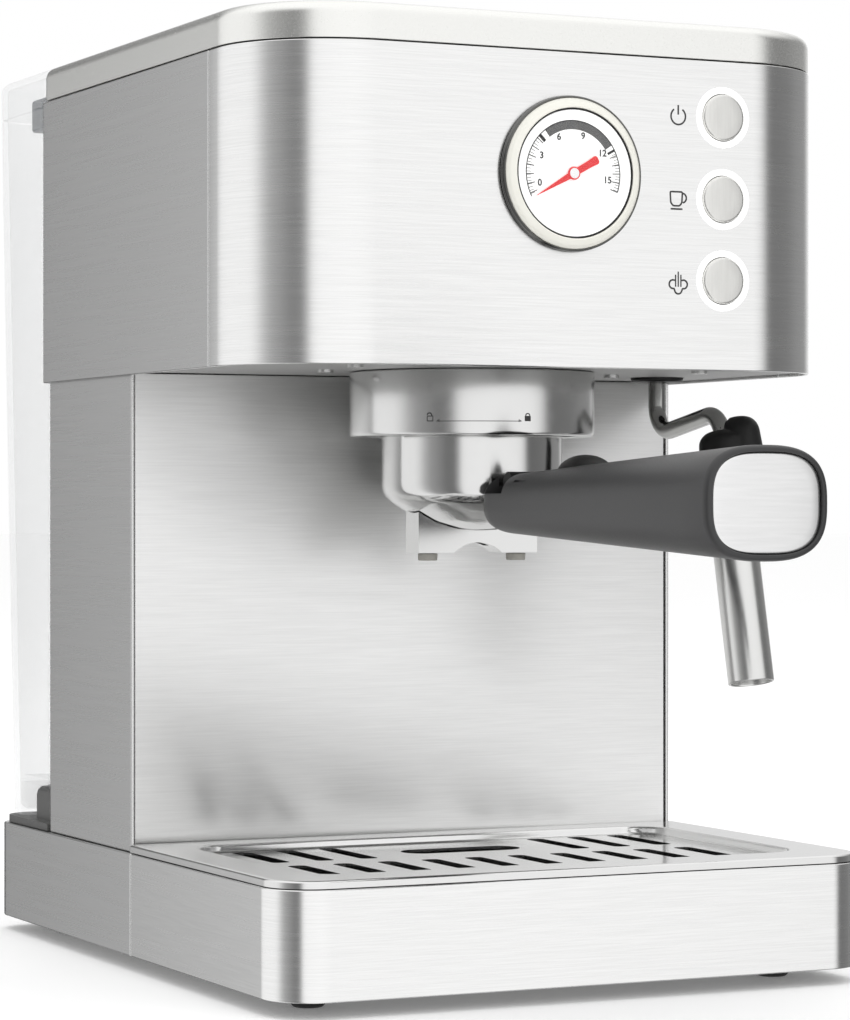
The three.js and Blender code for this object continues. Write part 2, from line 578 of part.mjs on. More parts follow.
// ---------------------------------------------------------------- steam side
function buildSteam() {
  const { x, y, radius, kneeY, kneeZ, lean, sleeveRadius } = WAND;
  const bushBore = radius + GAP;
  const bush = [[bushBore, 193.6], [8.9, 193.6], [8.9, 198], [bushBore, 198], [bushBore, 193.6]];
  place("swivel_bush", turned(bush, [x, y], 24), "blackPlastic");

  // The tube drops out of the head, runs forward and slightly up, then turns down along the leaning sleeve.
  const down = new THREE.Vector3(0, -Math.sin(lean), -Math.cos(lean));
  const knee = new THREE.Vector3(x, kneeY, kneeZ);
  const tipEnd = knee.clone().addScaledVector(down, 76);
  const tube = bentBar(
    [[x, y, 226.7], [x, y, 176.6], knee.toArray(), tipEnd.toArray()],
    7.5, radius, 5,
  );
  place("steam_tube", tube, "polishedSteel");

  // The grip and the sleeve share the tube's leaning end: their heights are measured down it from the knee.
  const wandEnd = new THREE.Group();
  wandEnd.position.copy(knee);
  wandEnd.rotation.x = -lean;
  machine.add(wandEnd);
  const onAxis = (profile, sides) => turned(profile.map(([r, h]) => [r, -h]), [0, 0], sides);
  const passage = radius + 0.25;
  const shell = onAxis(
    [[passage, 11], [7, 11], [8.6, 13], [8.8, 24], [8.4, 38], [passage, 38], [passage, 11]],
    24,
  );
  const thumb = rod("z", 7.2, [4.5, -1, -34], 22, 24).add(rod("z", 7.2, [4.5, -1, -12], 2.5, 24, 4.5));
  const gripBore = rod("z", passage, [0, 0, -60], 80, 24);
  const bendRoom = rod("z", 7, [0, 2, -11], 8, 24);
  place("wand_grip", cut(join(shell, thumb), gripBore, bendRoom), "blackPlastic", wandEnd);

  const sleeve = onAxis(
    [
      [passage, 38.3], [sleeveRadius - 0.6, 38.3], [sleeveRadius, 39], [sleeveRadius, SLEEVE_LENGTH],
      [sleeveRadius - 0.9, SLEEVE_LENGTH], [sleeveRadius - 0.9, 44], [passage, 44], [passage, 38.3],
    ],
    28,
  );
  place("froth_sleeve", sleeve, "polishedSteel", wandEnd);

  const { y: knobY, z: knobZ } = KNOB;
  const outerFace = HALF_WIDTH + GAP + KNOB.length;
  const valveBody = join(
    box([66, knobY - 10, knobZ - 9], [86, knobY + 10, knobZ + 9]),
    rod("x", 4.2, [85, knobY, knobZ], 10, 16),
    rod("z", 5, [x, y, knobZ - 16], 10, 16),
  );
  place("steam_valve", valveBody, "brass");
  const knob = join(
    rod("x", KNOB.radius, [HALF_WIDTH + GAP, knobY, knobZ], KNOB.length - 1.5, 40, KNOB.radius - 0.8),
    rod("x", KNOB.radius - 0.8, [outerFace - 1.6, knobY, knobZ], 1.6, 40, KNOB.radius - 2.4),
    rod("x", 3.6, [HALF_WIDTH - 6.8, knobY, knobZ], 9, 16),
  );
  const mark = box([outerFace - 1, knobY - 1, knobZ + 4], [200, knobY + 1, knobZ + 30]);
  place("steam_knob", cut(knob, mark), "castSilver");
}

// ---------------------------------------------------------------- pump, board and hoses
function buildInside() {
  const pump = join(
    box([-22, 138, 100], [22, 176, 138]),
    rod("z", 11, [0, 157, 95.4], 60, 20),
    rod("z", 5, [0, 157, 150], 18, 12),
  );
  place("water_pump", pump, "blackPlastic");
  const board = join(
    box([-56, 138, 200], [56, 171, 202]),
    box([20, 141, 201], [50, 168, 226]),
    rod("z", 8, [-22, 156, 201], 26, 12),
    rod("z", 8, [-44, 156, 201], 20, 12),
  );
  place("power_board", board, "circuitBoard");

  const inlet = [[0, 214, 49], [0, 214, 26], [0, 150, 26], [0, 150, 60], [0, 157, 76], [0, 157, 95]];
  place("inlet_hose", bentBar(inlet, 6, 3.5, 4), "siliconeHose");
  const outlet = [
    [0, 157, 168.4], [0, 157, 184], [0, 128, 192], [0, 128, 262], [-30, 90, 262], [-30, 90, 245.4],
  ];
  place("outlet_hose", bentBar(outlet, 7, 3, 4), "siliconeHose");
}

// ---------------------------------------------------------------- water tank
function buildTank() {
  const { front, rearBottom, rearTop, bottom, top, halfWidth } = TANK;
  const wall = TANK_WALL;
  // The rear wall leans out towards the top: an upright slab is sheared, and its front is cut level.
  const shear = (rearTop - rearBottom) / (top - bottom);
  const tapered = (inset, z0, z1) => {
    const shape = plan(halfWidth - inset, 0, rearBottom - inset, 1, 12 - inset);
    const upright = { depth: z1 - z0, bevelEnabled: false, curveSegments: 7 };
    const geometry = new THREE.ExtrudeGeometry(shape, upright);
    const lean = new THREE.Matrix4().makeShear(0, 0, 0, 0, 0, shear);
    lean.setPosition(0, shear * (z0 - bottom), z0);
    return solid(geometry.applyMatrix4(lean)).intersect(behind(front + inset));
  };
  const step = box([-FAR, 0, 0], [FAR, COUPLING_BLOCK.rear + 1.5, COUPLING_BLOCK.top + 1.2]);
  const outer = tapered(0, bottom, top).subtract(step);
  const [stepRear, stepTop] = [COUPLING_BLOCK.rear + 1.5, COUPLING_BLOCK.top + 1.2];
  const innerStep = box([-FAR, 0, 0], [FAR, stepRear + wall, stepTop + wall]);
  const inner = tapered(wall, bottom + wall, top + 1).subtract(innerStep);
  const valveHole = rod("z", 8.3, [0, 214, 40], 30, 20);
  const { y, z, radius, pin, halfSpan, halfKnuckle } = LID_HINGE;
  const pinBore = rod("x", pin + 0.05, [-60, y, z], 120, 16);
  const earWidth = halfSpan - halfKnuckle - 0.4;
  const earStarts = [-halfSpan, halfKnuckle + 0.4];
  const knuckles = earStarts.map((x) => rod("x", radius, [x, y, z], earWidth, 16));
  const ears = earStarts.map((x) => box([x, rearTop - 1, z - radius], [x + earWidth, y, z]));
  const tank = cut(join(cut(outer, inner, valveHole), ...knuckles, ...ears), pinBore);
  place("water_tank", tank, "clearPlastic");

  const lidPlan = (inset) => plan(halfWidth - inset, front + inset, rearTop - inset, 0.6, 12 - inset);
  const lidBottom = top + GAP;
  const cap = crownedSlab(lidPlan, lidBottom, TANK_LID_TOP, 4);
  const lidKnuckle = rod("x", radius, [-halfKnuckle, y, z], 2 * halfKnuckle, 16);
  const tongue = box([-halfKnuckle, rearTop - 3, lidBottom], [halfKnuckle, y, z + radius]);
  const lidHollow = slab(lidPlan(wall), lidBottom - 1, TANK_LID_TOP - wall, 5);
  const clearTank = box([-FAR, 0, 0], [FAR, rearTop + GAP, lidBottom]);
  const lid = cut(join(cut(cap, lidHollow), cut(join(lidKnuckle, tongue), clearTank)), pinBore);
  place("tank_lid", lid, "clearPlastic");
  place("lid_hinge_pin", rod("x", pin, [-halfSpan, y, z], 2 * halfSpan, 12), "polishedSteel");

  const gripHalf = halfWidth - wall - GAP;
  const grip = cut(
    box([-gripHalf, front + wall + GAP, 284], [gripHalf, 225, 295.5]),
    box([-gripHalf + 3, front + wall + 4, 200], [gripHalf - 3, 221, 292.5]),
  );
  place("tank_grip", grip, "smokedPlastic");

  const floorZ = COUPLING_BLOCK.top + 1.2 + wall;
  const valve = [
    [4.3, floorZ - 6], [6, floorZ - 6], [8, floorZ - 2], [8, floorZ + GAP], [10.4, floorZ + GAP],
    [10.4, floorZ + 2.3], [7, floorZ + 2.3], [7, floorZ + 9], [3.4, floorZ + 9],
    [3.4, floorZ + 7.5], [5.6, floorZ + 7.5], [5.6, floorZ],
    [4.3, floorZ - 2], [4.3, floorZ - 6],
  ];
  place("tank_valve", turned(valve, [0, 214], 20), "greyPlastic");
  const plunger = [
    [0, floorZ - 5], [2, floorZ - 5], [2, floorZ + 1], [5.1, floorZ + 1], [5.1, floorZ + 3],
    [2.6, floorZ + 3], [2.6, floorZ + 11], [0, floorZ + 11],
  ];
  place("valve_plunger", turned(plunger, [0, 214], 16), "rubber");
}

buildBase();
buildDripTray();
buildColumn();
buildHead();
buildGauge();
buildButtons();
buildGroup();
buildPortafilter();
buildHandle();
buildSteam();
buildInside();
buildTank();

export default machine;
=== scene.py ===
# %% [markdown]
# # A home espresso machine
#
# The machine is already modelled as plain CAD solids. This notebook gives it its looks: sheet steel
# with soft folded edges, a dark-rimmed gauge, polished metal, a moulded handle and a clear tank.
# Each step says what the real piece is like, and then makes it.

import math

import bmesh
import bpy
from mathutils import Matrix, Vector


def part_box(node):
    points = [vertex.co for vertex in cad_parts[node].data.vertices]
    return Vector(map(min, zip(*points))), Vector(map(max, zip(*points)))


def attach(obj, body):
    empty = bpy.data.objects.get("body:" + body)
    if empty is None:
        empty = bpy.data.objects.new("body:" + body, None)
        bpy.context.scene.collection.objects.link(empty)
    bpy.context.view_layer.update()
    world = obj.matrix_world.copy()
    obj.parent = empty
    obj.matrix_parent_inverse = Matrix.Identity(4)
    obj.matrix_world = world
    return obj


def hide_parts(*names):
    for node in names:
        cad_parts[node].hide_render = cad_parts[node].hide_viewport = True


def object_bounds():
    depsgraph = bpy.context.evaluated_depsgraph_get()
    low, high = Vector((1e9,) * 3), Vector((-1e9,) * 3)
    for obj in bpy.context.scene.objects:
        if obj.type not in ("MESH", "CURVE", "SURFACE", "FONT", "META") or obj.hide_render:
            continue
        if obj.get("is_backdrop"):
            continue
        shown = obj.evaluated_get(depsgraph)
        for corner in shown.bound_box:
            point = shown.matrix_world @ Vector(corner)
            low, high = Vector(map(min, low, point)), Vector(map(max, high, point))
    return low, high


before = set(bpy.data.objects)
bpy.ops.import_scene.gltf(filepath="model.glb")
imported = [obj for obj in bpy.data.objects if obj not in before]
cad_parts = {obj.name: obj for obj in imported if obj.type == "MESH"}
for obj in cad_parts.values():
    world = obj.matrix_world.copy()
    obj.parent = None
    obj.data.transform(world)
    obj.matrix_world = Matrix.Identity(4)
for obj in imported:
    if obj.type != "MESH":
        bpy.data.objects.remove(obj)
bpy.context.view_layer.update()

# %% [markdown]
# ## Where things are
#
# The CAD frame is centred on the whole footprint, with the steam knob and the handle included. It's
# easier to think from the machine's own middle plane and the front face of its head, so every piece
# below is drawn in "machine millimetres" and moved into the frame when its mesh is made.

# %% Machine millimetres
MM = 0.001
head_low, head_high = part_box("head_front_wrap")
MID_X = (head_low.x + head_high.x) / 2
FACE_Y = head_low.y


def place(x, y, z):
    """A point in machine millimetres, as a point of the frame in metres."""
    return Vector((MID_X + x * MM, FACE_Y + y * MM, z * MM))


def measured(node):
    """The lowest and highest corner of a CAD node, in machine millimetres."""
    return [((p - place(0, 0, 0)) / MM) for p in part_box(node)]


HALF = (head_high.x - head_low.x) / MM / 2
HEAD_BOTTOM, HEAD_TOP = measured("head_front_wrap")[0].z, measured("head_front_wrap")[1].z
BASE_FRONT, BASE_BOTTOM = measured("base_front_wrap")[0].y, measured("base_front_wrap")[0].z
BASE_TOP = measured("base_front_wrap")[1].z
BASE_REAR = measured("base_rear_wrap")[1].y
print("head", round(2 * HALF), "mm wide, base front at", round(BASE_FRONT, 1))

# %% [markdown]
# ## Camera
#
# The machine is seen from its front left, with the lens at about half its height. The camera looks
# level, so that upright edges stay upright, and a long lens keeps the perspective gentle.

# %% The camera
VIEW_TURN = 25.424
camera_data = bpy.data.cameras.new("camera")
camera_data.sensor_width = 36
camera_data.lens = 122.43
camera_data.shift_y = -0.0021
camera_data.clip_end = 20
camera = bpy.data.objects.new("camera", camera_data)
camera.location = place(-500.3, -948.3, 150.9)
camera.rotation_euler = (math.radians(90), 0, -math.radians(VIEW_TURN))
bpy.context.collection.objects.link(camera)
bpy.context.scene.camera = camera
print("camera at", [round(v, 3) for v in camera.location])

# %% [markdown]
# ## Small tools for shapes
#
# A few helpers do most of the drawing. `outline` gives a rounded plan, `eased` rounds the corners
# of any line of points, `loft` stretches a skin over rings of points, and `turned` spins a profile.

# %% Outlines and rounded corners
def outline(half, front, rear, front_radius, rear_radius, steps=16):
    """A rounded plan, anticlockwise from its front left corner."""
    corners = [
        (-half + front_radius, front + front_radius, front_radius, 180),
        (half - front_radius, front + front_radius, front_radius, 270),
        (half - rear_radius, rear - rear_radius, rear_radius, 0),
        (-half + rear_radius, rear - rear_radius, rear_radius, 90),
    ]
    points = []
    for x, y, radius, start in corners:
        for i in range(steps + 1):
            angle = math.radians(start + 90 * i / steps)
            points.append((x + radius * math.cos(angle), y + radius * math.sin(angle)))
    return points


def eased(points, radius, steps=3, closed=False):
    """The same line of points with its corners rounded."""
    made = []
    for i, point in enumerate(points):
        if not closed and i in (0, len(points) - 1):
            made.append(tuple(point))
            continue
        here = Vector(point)
        before, after = Vector(points[i - 1]), Vector(points[(i + 1) % len(points)])
        start = here + (before - here).normalized() * min(radius, (before - here).length / 2.01)
        end = here + (after - here).normalized() * min(radius, (after - here).length / 2.01)
        for k in range(steps + 1):
            t = k / steps
            made.append(tuple(start * (1 - t) ** 2 + here * 2 * t * (1 - t) + end * t**2))
    return made


def superellipse(half_width, half_height, power, count=64):
    """A rounded square: power 2 is an ellipse, and a higher one is squarer."""
    points = []
    for i in range(count):
        c, s = math.cos(math.tau * i / count), math.sin(math.tau * i / count)
        x = math.copysign(abs(c) ** (2 / power), c) * half_width
        y = math.copysign(abs(s) ** (2 / power), s) * half_height
        points.append((x, y))
    return points


# %% Meshes from rings, plans and profiles
def mesh_piece(name, points, faces, recalculate=True):
    """An object from points in machine millimetres."""
    mesh = bpy.data.meshes.new(name)
    mesh.from_pydata([place(*p) for p in points], [], faces)
    work = bmesh.new()
    work.from_mesh(mesh)
    bmesh.ops.remove_doubles(work, verts=work.verts, dist=1e-7)
    if recalculate:
        bmesh.ops.recalc_face_normals(work, faces=work.faces)
    work.to_mesh(mesh)
    work.free()
    piece = bpy.data.objects.new(name, mesh)
    bpy.context.collection.objects.link(piece)
    return piece


def loft(name, rings, caps=(True, True), closed=False):
    """A skin over rings that all have the same number of points."""
    count = len(rings[0])
    points = [p for ring in rings for p in ring]
    faces = []
    for r in range(len(rings) if closed else len(rings) - 1):
        a, b = r * count, ((r + 1) % len(rings)) * count
        faces += [(a + i, a + (i + 1) % count, b + (i + 1) % count, b + i) for i in range(count)]
    if caps[0] and not closed:
        faces.append(tuple(range(count - 1, -1, -1)))
    if caps[1] and not closed:
        faces.append(tuple(range(len(points) - count, len(points))))
    return mesh_piece(name, points, faces)


def prism(name, plan, low, high):
    """An upright prism over a plan."""
    return loft(name, [[(x, y, z) for x, y in plan] for z in (low, high)])


def turned(name, profile, centre, axis="z", steps=96):
    """A profile of (radius, height) points spun about an axis. An open profile ends on the axis."""
    closed = profile[0][0] > 0 and profile[-1][0] > 0
    place_point = {
        "x": lambda r, h, a: (h, r * math.cos(a), r * math.sin(a)),
        "y": lambda r, h, a: (r * math.cos(a), h, r * math.sin(a)),
        "z": lambda r, h, a: (r * math.cos(a), r * math.sin(a), h),
    }[axis]
    rings = []
    for radius, height in profile:
        ring = []
        for i in range(steps):
            x, y, z = place_point(radius, height, math.tau * i / steps)
            ring.append((x + centre[0], y + centre[1], z + centre[2]))
        rings.append(ring)
    return loft(name, rings, caps=(False, False), closed=closed)


def round_bar(name, radius, low, high, centre, axis="z", steps=96):
    """A plain round bar along an axis, solid or used as a cutter."""
    return turned(name, [(0, low), (radius, low), (radius, high), (0, high)], centre, axis, steps)


# %% [markdown]
# Real edges are never perfectly sharp: a thin highlight runs along each of them. `soften` rounds the
# edges with a Bevel, and then lets a Weighted Normal modifier keep the flat faces flat to the eye.

# %% Finishing a shape
def settle(piece):
    """Turn an object's modifiers into plain mesh."""
    depsgraph = bpy.context.evaluated_depsgraph_get()
    depsgraph.update()
    mesh = bpy.data.meshes.new_from_object(piece.evaluated_get(depsgraph))
    piece.modifiers.clear()
    piece.data = mesh
    return piece


def smooth(piece, degrees=32):
    """Smooth shading that stops at real edges."""
    piece.data.polygons.foreach_set("use_smooth", [True] * len(piece.data.polygons))
    piece.data.set_sharp_from_angle(angle=math.radians(degrees))
    return piece


def rounded(piece, width=0.3, segments=2, degrees=35):
    bevel = piece.modifiers.new("soft_edges", "BEVEL")
    bevel.width = width * MM
    bevel.segments = segments
    bevel.limit_method = "ANGLE"
    bevel.angle_limit = math.radians(degrees)
    bevel.miter_outer = "MITER_ARC"
    return settle(piece)


def evened(piece, degrees=50):
    """Smooth shading that leaves the flat faces flat."""
    smooth(piece, degrees)
    normals = piece.modifiers.new("flat_faces", "WEIGHTED_NORMAL")
    normals.keep_sharp = True
    normals.weight = 80
    return settle(piece)


def soften(piece, width=0.3, segments=2, degrees=35):
    return evened(rounded(piece, width, segments, degrees))


def carve(piece, *cutters, mode="DIFFERENCE"):
    """Cut other solids away, and throw the cutters out."""
    for cutter in cutters:
        boolean = piece.modifiers.new("cut", "BOOLEAN")
        boolean.operation = mode
        boolean.solver = "EXACT"
        boolean.object = cutter
    settle(piece)
    for cutter in cutters:
        bpy.data.objects.remove(cutter)
    return piece


def merged(name, *pieces):
    """Several meshes as one piece."""
    work = bmesh.new()
    for piece in pieces:
        work.from_mesh(piece.data)
        bpy.data.objects.remove(piece)
    mesh = bpy.data.meshes.new(name)
    work.to_mesh(mesh)
    work.free()
    made = bpy.data.objects.new(name, mesh)
    bpy.context.collection.objects.link(made)
    return made


def finish(piece, finish_name, body, stands_for=()):
    """Paint a piece, tie it to a moving body, and hide the CAD nodes it stands for."""
    piece.data.materials.clear()
    piece.data.materials.append(FINISH[finish_name])
    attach(piece, body)
    if stands_for:
        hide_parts(*stands_for)
    print(piece.name, "-", len(piece.data.polygons), "faces on", body)
    return piece


# %% [markdown]
# ## Materials
#
# Each finish is a Principled shader with a little procedural life in it. Brushed steel is the main
# one: sandpaper leaves fine level scratches, so its noise is squeezed along Z and stretched along the
# sheet. Object coordinates are in metres, so a scale of 1000 means one noise cell to a millimetre.

# %% Building a material
def principled(name, color, roughness, metallic=0.0, **sockets):
    material = bpy.data.materials.new(name)
    material.use_nodes = True
    shader = material.node_tree.nodes["Principled BSDF"]
    shader.inputs["Base Color"].default_value = (*color, 1)
    shader.inputs["Roughness"].default_value = roughness
    shader.inputs["Metallic"].default_value = metallic
    for label, value in sockets.items():
        shader.inputs[label.replace("_", " ")].default_value = value
    return material, material.node_tree, shader


def stretched_noise(tree, scale, detail=3.0, roughness=0.5):
    """Noise on Object coordinates, with its own scale along each axis in cells to a metre."""
    coordinates = tree.nodes.new("ShaderNodeTexCoord")
    mapping = tree.nodes.new("ShaderNodeMapping")
    mapping.inputs["Scale"].default_value = scale
    noise = tree.nodes.new("ShaderNodeTexNoise")
    noise.inputs["Scale"].default_value = 1.0
    noise.inputs["Detail"].default_value = detail
    noise.inputs["Roughness"].default_value = roughness
    tree.links.new(coordinates.outputs["Object"], mapping.inputs["Vector"])
    tree.links.new(mapping.outputs["Vector"], noise.inputs["Vector"])
    return noise.outputs["Fac"]


def ramp(tree, factor, low, high, start=0.3, end=0.7):
    """A number between low and high that follows a factor."""
    mapped = tree.nodes.new("ShaderNodeMapRange")
    mapped.inputs["From Min"].default_value = start
    mapped.inputs["From Max"].default_value = end
    mapped.inputs["To Min"].default_value = low
    mapped.inputs["To Max"].default_value = high
    tree.links.new(factor, mapped.inputs["Value"])
    return mapped.outputs["Result"]


def tinted(tree, shader, factor, color, swing):
    """Let the colour lighten and darken a little with a factor."""
    mix = tree.nodes.new("ShaderNodeMix")
    mix.data_type = "RGBA"
    mix.inputs["A"].default_value = (*[c * (1 - swing) for c in color], 1)
    mix.inputs["B"].default_value = (*[min(1, c * (1 + swing)) for c in color], 1)
    tree.links.new(ramp(tree, factor, 0, 1), mix.inputs["Factor"])
    tree.links.new(mix.outputs["Result"], shader.inputs["Base Color"])


def bumped(tree, shader, factor, strength, distance=0.0002):
    bump = tree.nodes.new("ShaderNodeBump")
    bump.inputs["Strength"].default_value = strength
    bump.inputs["Distance"].default_value = distance
    tree.links.new(factor, bump.inputs["Height"])
    tree.links.new(bump.outputs["Normal"], shader.inputs["Normal"])


def brushed(name, color, roughness, grain=(60, 60, 2600), swing=0.035, bump=0.02, stretch=0.0):
    """Metal with fine scratches. stretch pulls its highlights out upright, across level scratches."""
    material, tree, shader = principled(name, color, roughness, 1.0)
    shader.inputs["Anisotropic"].default_value = stretch
    shader.inputs["Anisotropic Rotation"].default_value = 0.25
    around = tree.nodes.new("ShaderNodeTangent")
    around.direction_type, around.axis = "RADIAL", "Z"
    tree.links.new(around.outputs["Tangent"], shader.inputs["Tangent"])
    scratches = stretched_noise(tree, grain)
    broad = stretched_noise(tree, tuple(g / 3 for g in grain), 1.0)
    tinted(tree, shader, scratches, color, swing)
    rough = ramp(tree, broad, roughness - 0.02, roughness + 0.02)
    tree.links.new(rough, shader.inputs["Roughness"])
    bumped(tree, shader, scratches, bump)
    return material


def moulded(name, color, roughness, cells=2200, swing=0.04, bump=0.12, **sockets):
    """Plastic, rubber or paint with a fine even texture."""
    material, tree, shader = principled(name, color, roughness, **sockets)
    speckle = stretched_noise(tree, (cells, cells, cells), 2.0)
    tinted(tree, shader, speckle, color, swing)
    tree.links.new(ramp(tree, speckle, roughness - 0.04, roughness + 0.04), shader.inputs["Roughness"])
    bumped(tree, shader, speckle, bump, 0.0001)
    return material


def polished(name, color, roughness, cells=300, **sockets):
    """Smooth metal with faint wipe marks."""
    material, tree, shader = principled(name, color, roughness, 1.0, **sockets)
    wipes = stretched_noise(tree, (cells, cells, cells), 4.0)
    tinted(tree, shader, wipes, color, 0.01)
    tree.links.new(ramp(tree, wipes, roughness * 0.93, roughness * 1.07), shader.inputs["Roughness"])
    return material


# %% The machine's finishes
FINISH = {
    "front_steel": brushed("front_steel", (0.90, 0.90, 0.895), 0.26, bump=0.012, stretch=0.8),
    "side_steel": brushed("side_steel", (0.76, 0.76, 0.757), 0.28, swing=0.015, bump=0.003, stretch=0.7),
    "splash_steel": brushed("splash_steel", (0.90, 0.90, 0.895), 0.36, stretch=0.1),
    "grille_steel": polished("grille_steel", (0.80, 0.80, 0.795), 0.16, 120),
    "cap_steel": brushed("cap_steel", (0.86, 0.86, 0.86), 0.25, (60, 900, 900), 0.03, 0.02),
    "button_nickel": brushed("button_nickel", (0.83, 0.825, 0.80), 0.38, (1500, 1500, 90), 0.03, 0.02),
    "cover_silver": moulded("cover_silver", (0.90, 0.90, 0.875), 0.24, 2600, 0.004, 0.004, Metallic=0.93),
    "collar_silver": polished("collar_silver", (0.78, 0.78, 0.775), 0.2),
    # Chrome with its colour darkened: painted dark reflections for the gauge rim.
    "chrome_painted_dark": polished("chrome_painted_dark", (0.16, 0.16, 0.155), 0.12),
    "bowl_steel": polished("bowl_steel", (0.76, 0.76, 0.755), 0.13),
    "wand_steel": polished("wand_steel", (0.68, 0.68, 0.66), 0.13),
    "tube_steel": polished("tube_steel", (0.44, 0.44, 0.43), 0.14),
    "sleeve_steel": polished("sleeve_steel", (0.78, 0.78, 0.77), 0.24),
    "handle_plastic": moulded("handle_plastic", (0.035, 0.035, 0.036), 0.4, 2600, 0.05, 0.03),
    "black_plastic": moulded(
        "black_plastic", (0.009, 0.009, 0.009), 0.4, 2600, 0.1, 0.04, Specular_IOR_Level=0.3
    ),
    "rubber": moulded("rubber", (0.015, 0.015, 0.015), 0.75, 1200, 0.1, 0.3),
    "grey_plastic": moulded("grey_plastic", (0.31, 0.31, 0.305), 0.45, 2600, 0.02, 0.02),
    # A darker copy of the grey plastic for the rear deck: painted shade that tones down the light falling on
    # it.
    "deck_grey_painted_shade": moulded("deck_grey_painted_shade", (0.09, 0.09, 0.088), 0.45, 2600, 0.02, 0.02),
    "tray_plastic": moulded("tray_plastic", (0.05, 0.05, 0.05), 0.45),
    # The dial's white finish gets a faint glow further down, painted light that keeps it bright.
    "dial_white": moulded("dial_white", (0.95, 0.95, 0.94), 0.5, 3000, 0.01, 0.02),
    "rim_cream": moulded("rim_cream", (0.87, 0.86, 0.79), 0.35, 3000, 0.003, 0.0),
    "dial_print": moulded("dial_print", (0.04, 0.04, 0.04), 0.5, 3000, 0.1, 0.02),
    "dial_grey": moulded("dial_grey", (0.11, 0.11, 0.11), 0.5, 3000, 0.1, 0.02),
    "needle_red": moulded("needle_red", (0.78, 0.03, 0.035), 0.35, 3000, 0.02, 0.02),
    "hub_white": moulded("hub_white", (0.9, 0.9, 0.9), 0.3, 3000, 0.01, 0.02),
    "smoked_plastic": moulded("smoked_plastic", (0.055, 0.065, 0.08), 0.25),
    "nozzle_grey": moulded("nozzle_grey", (0.33, 0.32, 0.29), 0.5),
    "circuit_green": moulded("circuit_green", (0.03, 0.11, 0.05), 0.4, 900, 0.2, 0.2),
    "cast_alloy": moulded("cast_alloy", (0.55, 0.56, 0.57), 0.45, 900, 0.06, 0.35, Metallic=1.0),
    "brass": polished("brass", (0.62, 0.45, 0.18), 0.25),
    "hose_silicone": moulded("hose_silicone", (0.72, 0.71, 0.66), 0.4, 1500, 0.03, 0.05),
}
print(len(FINISH), "opaque finishes")

# %% [markdown]
# The tank, the gauge lens and the lit rings need something else. A thin clear wall hardly bends light,
# so it is a pale shader that covers only part of what is behind it, and stays glossy. The rings are
# white diffusers that glow faintly from inside. The dial is no lamp: its faint glow is painted light that
# keeps it white.

# %% Clear finishes, lit rings and a dial with a painted glow
def clear(name, color, roughness, cover):
    material, tree, shader = principled(name, color, roughness, 0.0, Alpha=cover)
    ripple = stretched_noise(tree, (25, 25, 12), 1.0)
    tree.links.new(ramp(tree, ripple, roughness * 0.7, roughness * 1.3), shader.inputs["Roughness"])
    return material


FINISH["tank_clear"] = clear("tank_clear", (0.93, 0.94, 0.945), 0.1, 0.17)
FINISH["lens_clear"] = clear("lens_clear", (1, 1, 1), 0.02, 0.015)
FINISH["ring_light"] = moulded("ring_light", (0.95, 0.95, 0.95), 0.3, 2500, 0.01, 0.01)
# The button rings light up from inside. The dial's glow is painted light, not a lamp.
for glowing_finish, glow in (("ring_light", 0.5), ("dial_white", 0.22)):
    glowing_shader = FINISH[glowing_finish].node_tree.nodes["Principled BSDF"]
    glowing_shader.inputs["Emission Color"].default_value = (1, 1, 1, 1)
    glowing_shader.inputs["Emission Strength"].default_value = glow

# %% [markdown]
# ## Geometry Nodes for what repeats
#
# Slots, scale marks, screws and tubes all follow a rule, so each gets a small node tree with named
# inputs. `grow` runs a tree on a starting object and keeps the result as plain mesh.

# %% Node tree helpers
def new_tree(name, **inputs):
    """A Geometry Nodes group with number inputs, its Group Input node and its Group Output node."""
    tree = bpy.data.node_groups.new(name, "GeometryNodeTree")
    tree.interface.new_socket("Geometry", in_out="INPUT", socket_type="NodeSocketGeometry")
    for label, value in inputs.items():
        kind = "NodeSocketInt" if isinstance(value, int) else "NodeSocketFloat"
        socket = tree.interface.new_socket(label, in_out="INPUT", socket_type=kind)
        socket.default_value = value
    tree.interface.new_socket("Geometry", in_out="OUTPUT", socket_type="NodeSocketGeometry")
    return tree, tree.nodes.new("NodeGroupInput"), tree.nodes.new("NodeGroupOutput")


def node(tree, kind, links=None, **values):
    """Add a node, set its plain inputs by name, and link the rest."""
    made = tree.nodes.new(kind)
    for label, value in values.items():
        if hasattr(made, label):
            setattr(made, label, value)
        else:
            made.inputs[label.replace("_", " ")].default_value = value
    for label, source in (links or {}).items():
        tree.links.new(source, made.inputs[label])
    return made


def end_tree(tree, output, geometry, material):
    """Every tree ends in real geometry with a material."""
    real = node(tree, "GeometryNodeRealizeInstances", {"Geometry": geometry})
    painted = node(tree, "GeometryNodeSetMaterial", {"Geometry": real.outputs[0]}, Material=material)
    tree.links.new(painted.outputs[0], output.inputs[0])


def grow(name, tree, start, **values):
    """Run a tree on an object and keep the result as a plain mesh, at the origin."""
    modifier = start.modifiers.new("nodes", "NODES")
    modifier.node_group = tree
    for item in tree.interface.items_tree:
        if item.in_out == "INPUT" and item.name in values:
            modifier[item.identifier] = values[item.name]
    depsgraph = bpy.context.evaluated_depsgraph_get()
    depsgraph.update()
    mesh = bpy.data.meshes.new_from_object(start.evaluated_get(depsgraph))
    bpy.data.objects.remove(start)
    work = bmesh.new()
    work.from_mesh(mesh)
    bmesh.ops.recalc_face_normals(work, faces=work.faces)
    work.to_mesh(mesh)
    work.free()
    made = bpy.data.objects.new(name, mesh)
    bpy.context.collection.objects.link(made)
    return made


def seeds(name, points):
    """Loose vertices for a tree to grow things on, in machine millimetres."""
    return mesh_piece(name, points, [])


